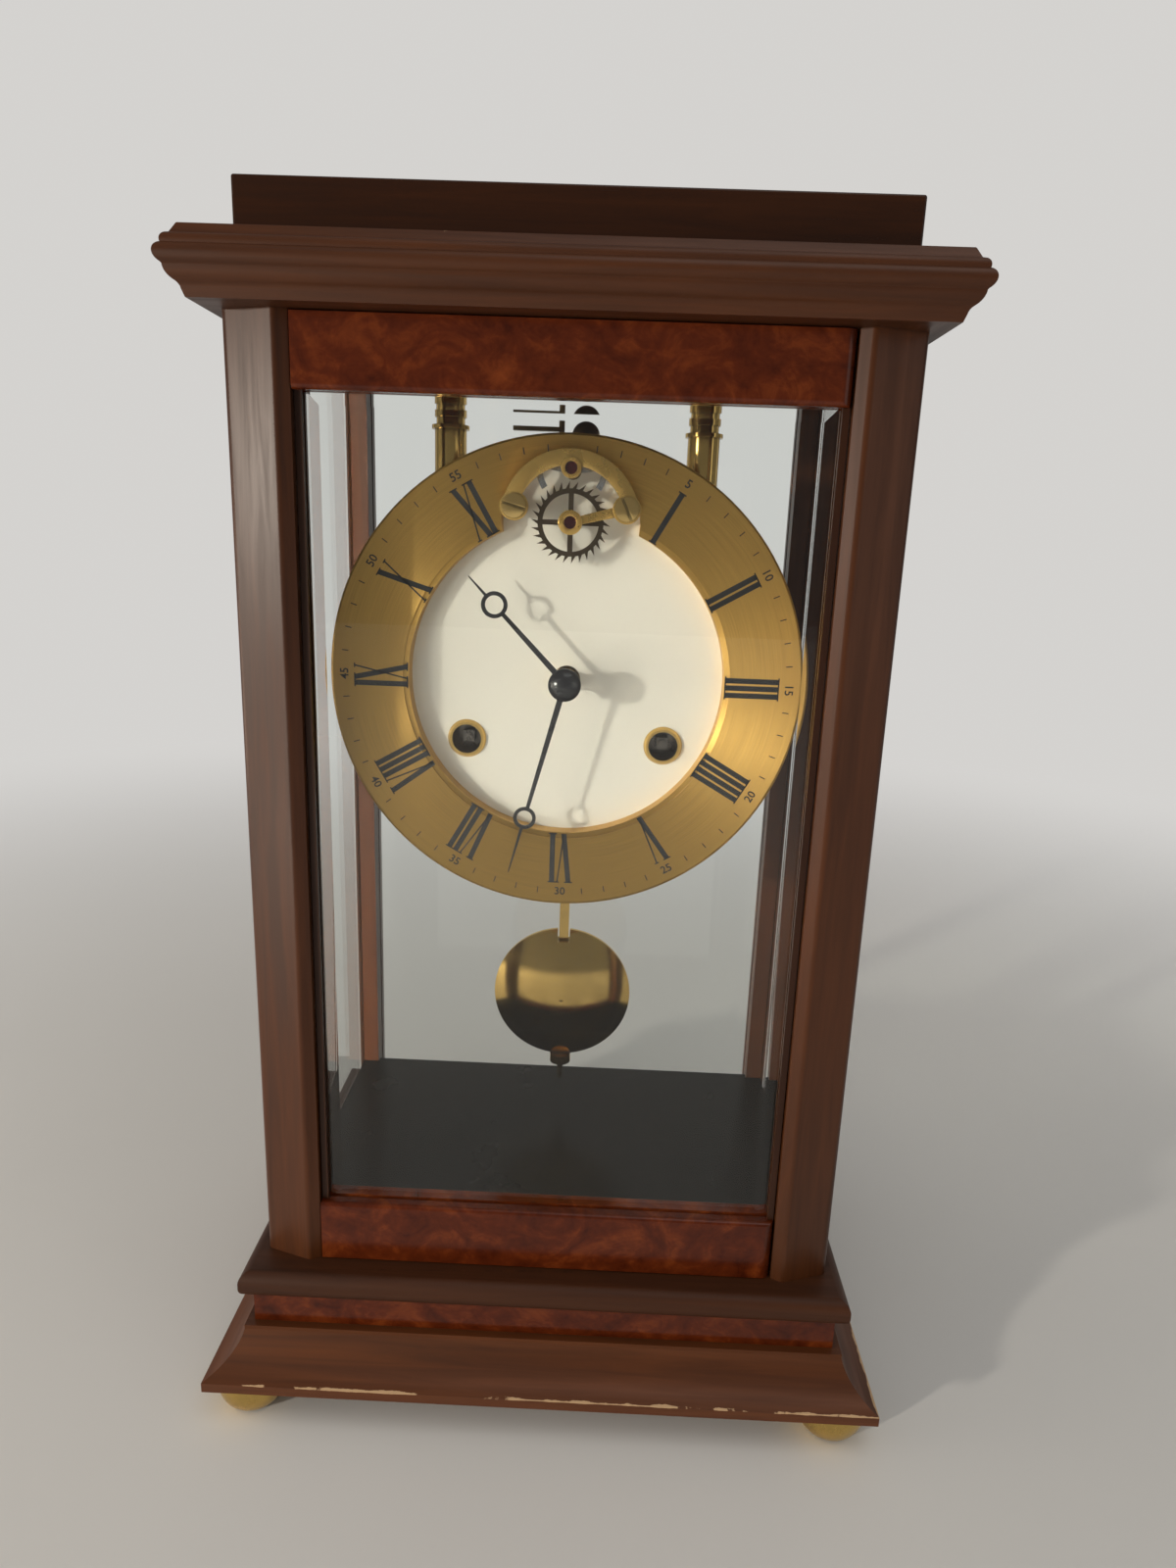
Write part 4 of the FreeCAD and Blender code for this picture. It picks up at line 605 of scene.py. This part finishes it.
# Studio
def background_rays(tree):
    """1 for what the camera sees directly or through glass, and 1 for what metal mirrors."""
    path = add(tree, "LightPath")
    undimmed = maths(tree, "LESS_THAN", path.outputs["Diffuse Depth"], 0.5)
    glossy = maths(tree, "GREATER_THAN", path.outputs["Glossy Depth"], 0.5)
    mirrored = maths(tree, "MULTIPLY", undimmed, glossy)
    shown = maths(tree, "MAXIMUM", path.outputs["Is Camera Ray"], path.outputs["Is Transmission Ray"])
    plain = maths(tree, "MULTIPLY", shown, maths(tree, "SUBTRACT", undimmed, mirrored))
    return plain, mirrored


def pale_floor():
    """Lit floor round the clock that fades outwards into the plain background."""
    material, tree, principled = surface("pale_floor", base_color=floor_pale, roughness=0.6, specular_ior_level=0.2)
    broad = noise(tree, places(tree), 6.0, detail=3.0)
    colour = ramp(tree, broad, (0.3, shaded(floor_pale, 0.98)), (0.7, floor_pale))
    tree.links.new(colour, principled.inputs["Base Color"])
    away = add(tree, "VectorMath", {0: add(tree, "TexCoord").outputs["Object"]}, operation="LENGTH").outputs["Value"]
    far_share = span(tree, away, floor_fade, interpolation_type="SMOOTHSTEP")
    plain, mirrored = background_rays(tree)
    seen = maths(tree, "MAXIMUM", plain, maths(tree, "MULTIPLY", mirrored, mirrored_floor_share))
    glow = add(tree, "Emission", {"Color": (*background_pale, 1.0), "Strength": background_glow})
    mix_shaders(tree, maths(tree, "MULTIPLY", far_share, seen), principled, glow)
    return material


def backdrop():
    """Pale floor that turns up into a pale wall behind the clock."""
    path = [(backdrop_front, 0.0)]
    for step in range(backdrop_steps + 1):
        angle = math.pi / 2 * step / backdrop_steps
        path.append((backdrop_wall - backdrop_bend + backdrop_bend * math.sin(angle),
                     backdrop_bend - backdrop_bend * math.cos(angle)))
    path.append((backdrop_wall, backdrop_height))
    points = [(x, y, z) for y, z in path for x in (-backdrop_reach, backdrop_reach)]
    faces = [(2 * step, 2 * step + 1, 2 * step + 3, 2 * step + 2) for step in range(len(path) - 1)]
    mesh = bpy.data.meshes.new("backdrop")
    mesh.from_pydata(points, [], faces)
    mesh.shade_smooth()
    mesh.materials.append(pale_floor())
    placed("backdrop", mesh)


def studio_world():
    """Soft light from above and from the left, unseen, and the plain pale background in its place."""
    world = bpy.data.worlds.new("studio")
    bpy.context.scene.world = world
    world.use_nodes = True
    tree = world.node_tree
    lit = tree.nodes["Background"]
    lit.inputs["Color"].default_value = (*background_pale, 1.0)
    direction = add(tree, "SeparateXYZ", {"Vector": add(tree, "TexCoord").outputs["Generated"]})
    above = span(tree, direction.outputs["Z"], (-0.2, 0.8), light_from_above)
    from_left = span(tree, direction.outputs["X"], (0.2, -0.9), (0.0, light_from_left))
    plain, mirrored = background_rays(tree)
    unseen = maths(tree, "SUBTRACT", maths(tree, "SUBTRACT", 1.0, plain), mirrored)
    lighting = maths(tree, "MULTIPLY", maths(tree, "ADD", above, from_left), unseen)
    shown = maths(tree, "ADD", maths(tree, "MULTIPLY", plain, background_glow),
                  maths(tree, "MULTIPLY", mirrored, mirrored_glow))
    tree.links.new(maths(tree, "ADD", lighting, shown), lit.inputs["Strength"])


def soft_lamp(name, place, size, power, colour, aim=(0.0, 0.0, 0.22), spread=180.0):
    lamp = bpy.data.lights.new(name, "AREA")
    lamp.spread = math.radians(spread)
    lamp.size = size
    lamp.energy = power
    lamp.color = colour
    holder = placed(name, lamp)
    holder.location = place
    holder.rotation_euler = (Vector(aim) - Vector(place)).to_track_quat("-Z", "Y").to_euler()


def camera():
    lens = bpy.data.cameras.new("camera")
    lens.sensor_fit = "VERTICAL"
    lens.sensor_height = camera_sensor
    lens.sensor_width = camera_sensor * camera_aspect
    lens.lens = camera_lens
    lens.clip_start = camera_clip
    holder = placed("camera", lens)
    holder.location = camera_place
    holder.rotation_euler = tuple(math.radians(angle) for angle in (camera_tilt, camera_roll, camera_turn))
    bpy.context.scene.camera = holder


finish_nodes()
for name, width in edge_widths.items():
    bevelled(name, width)
printed_dial()
backdrop()
studio_world()
for name, lamp in lamps.items():
    soft_lamp(name, **lamp)
camera()
bpy.context.scene.view_settings.view_transform = "Standard"
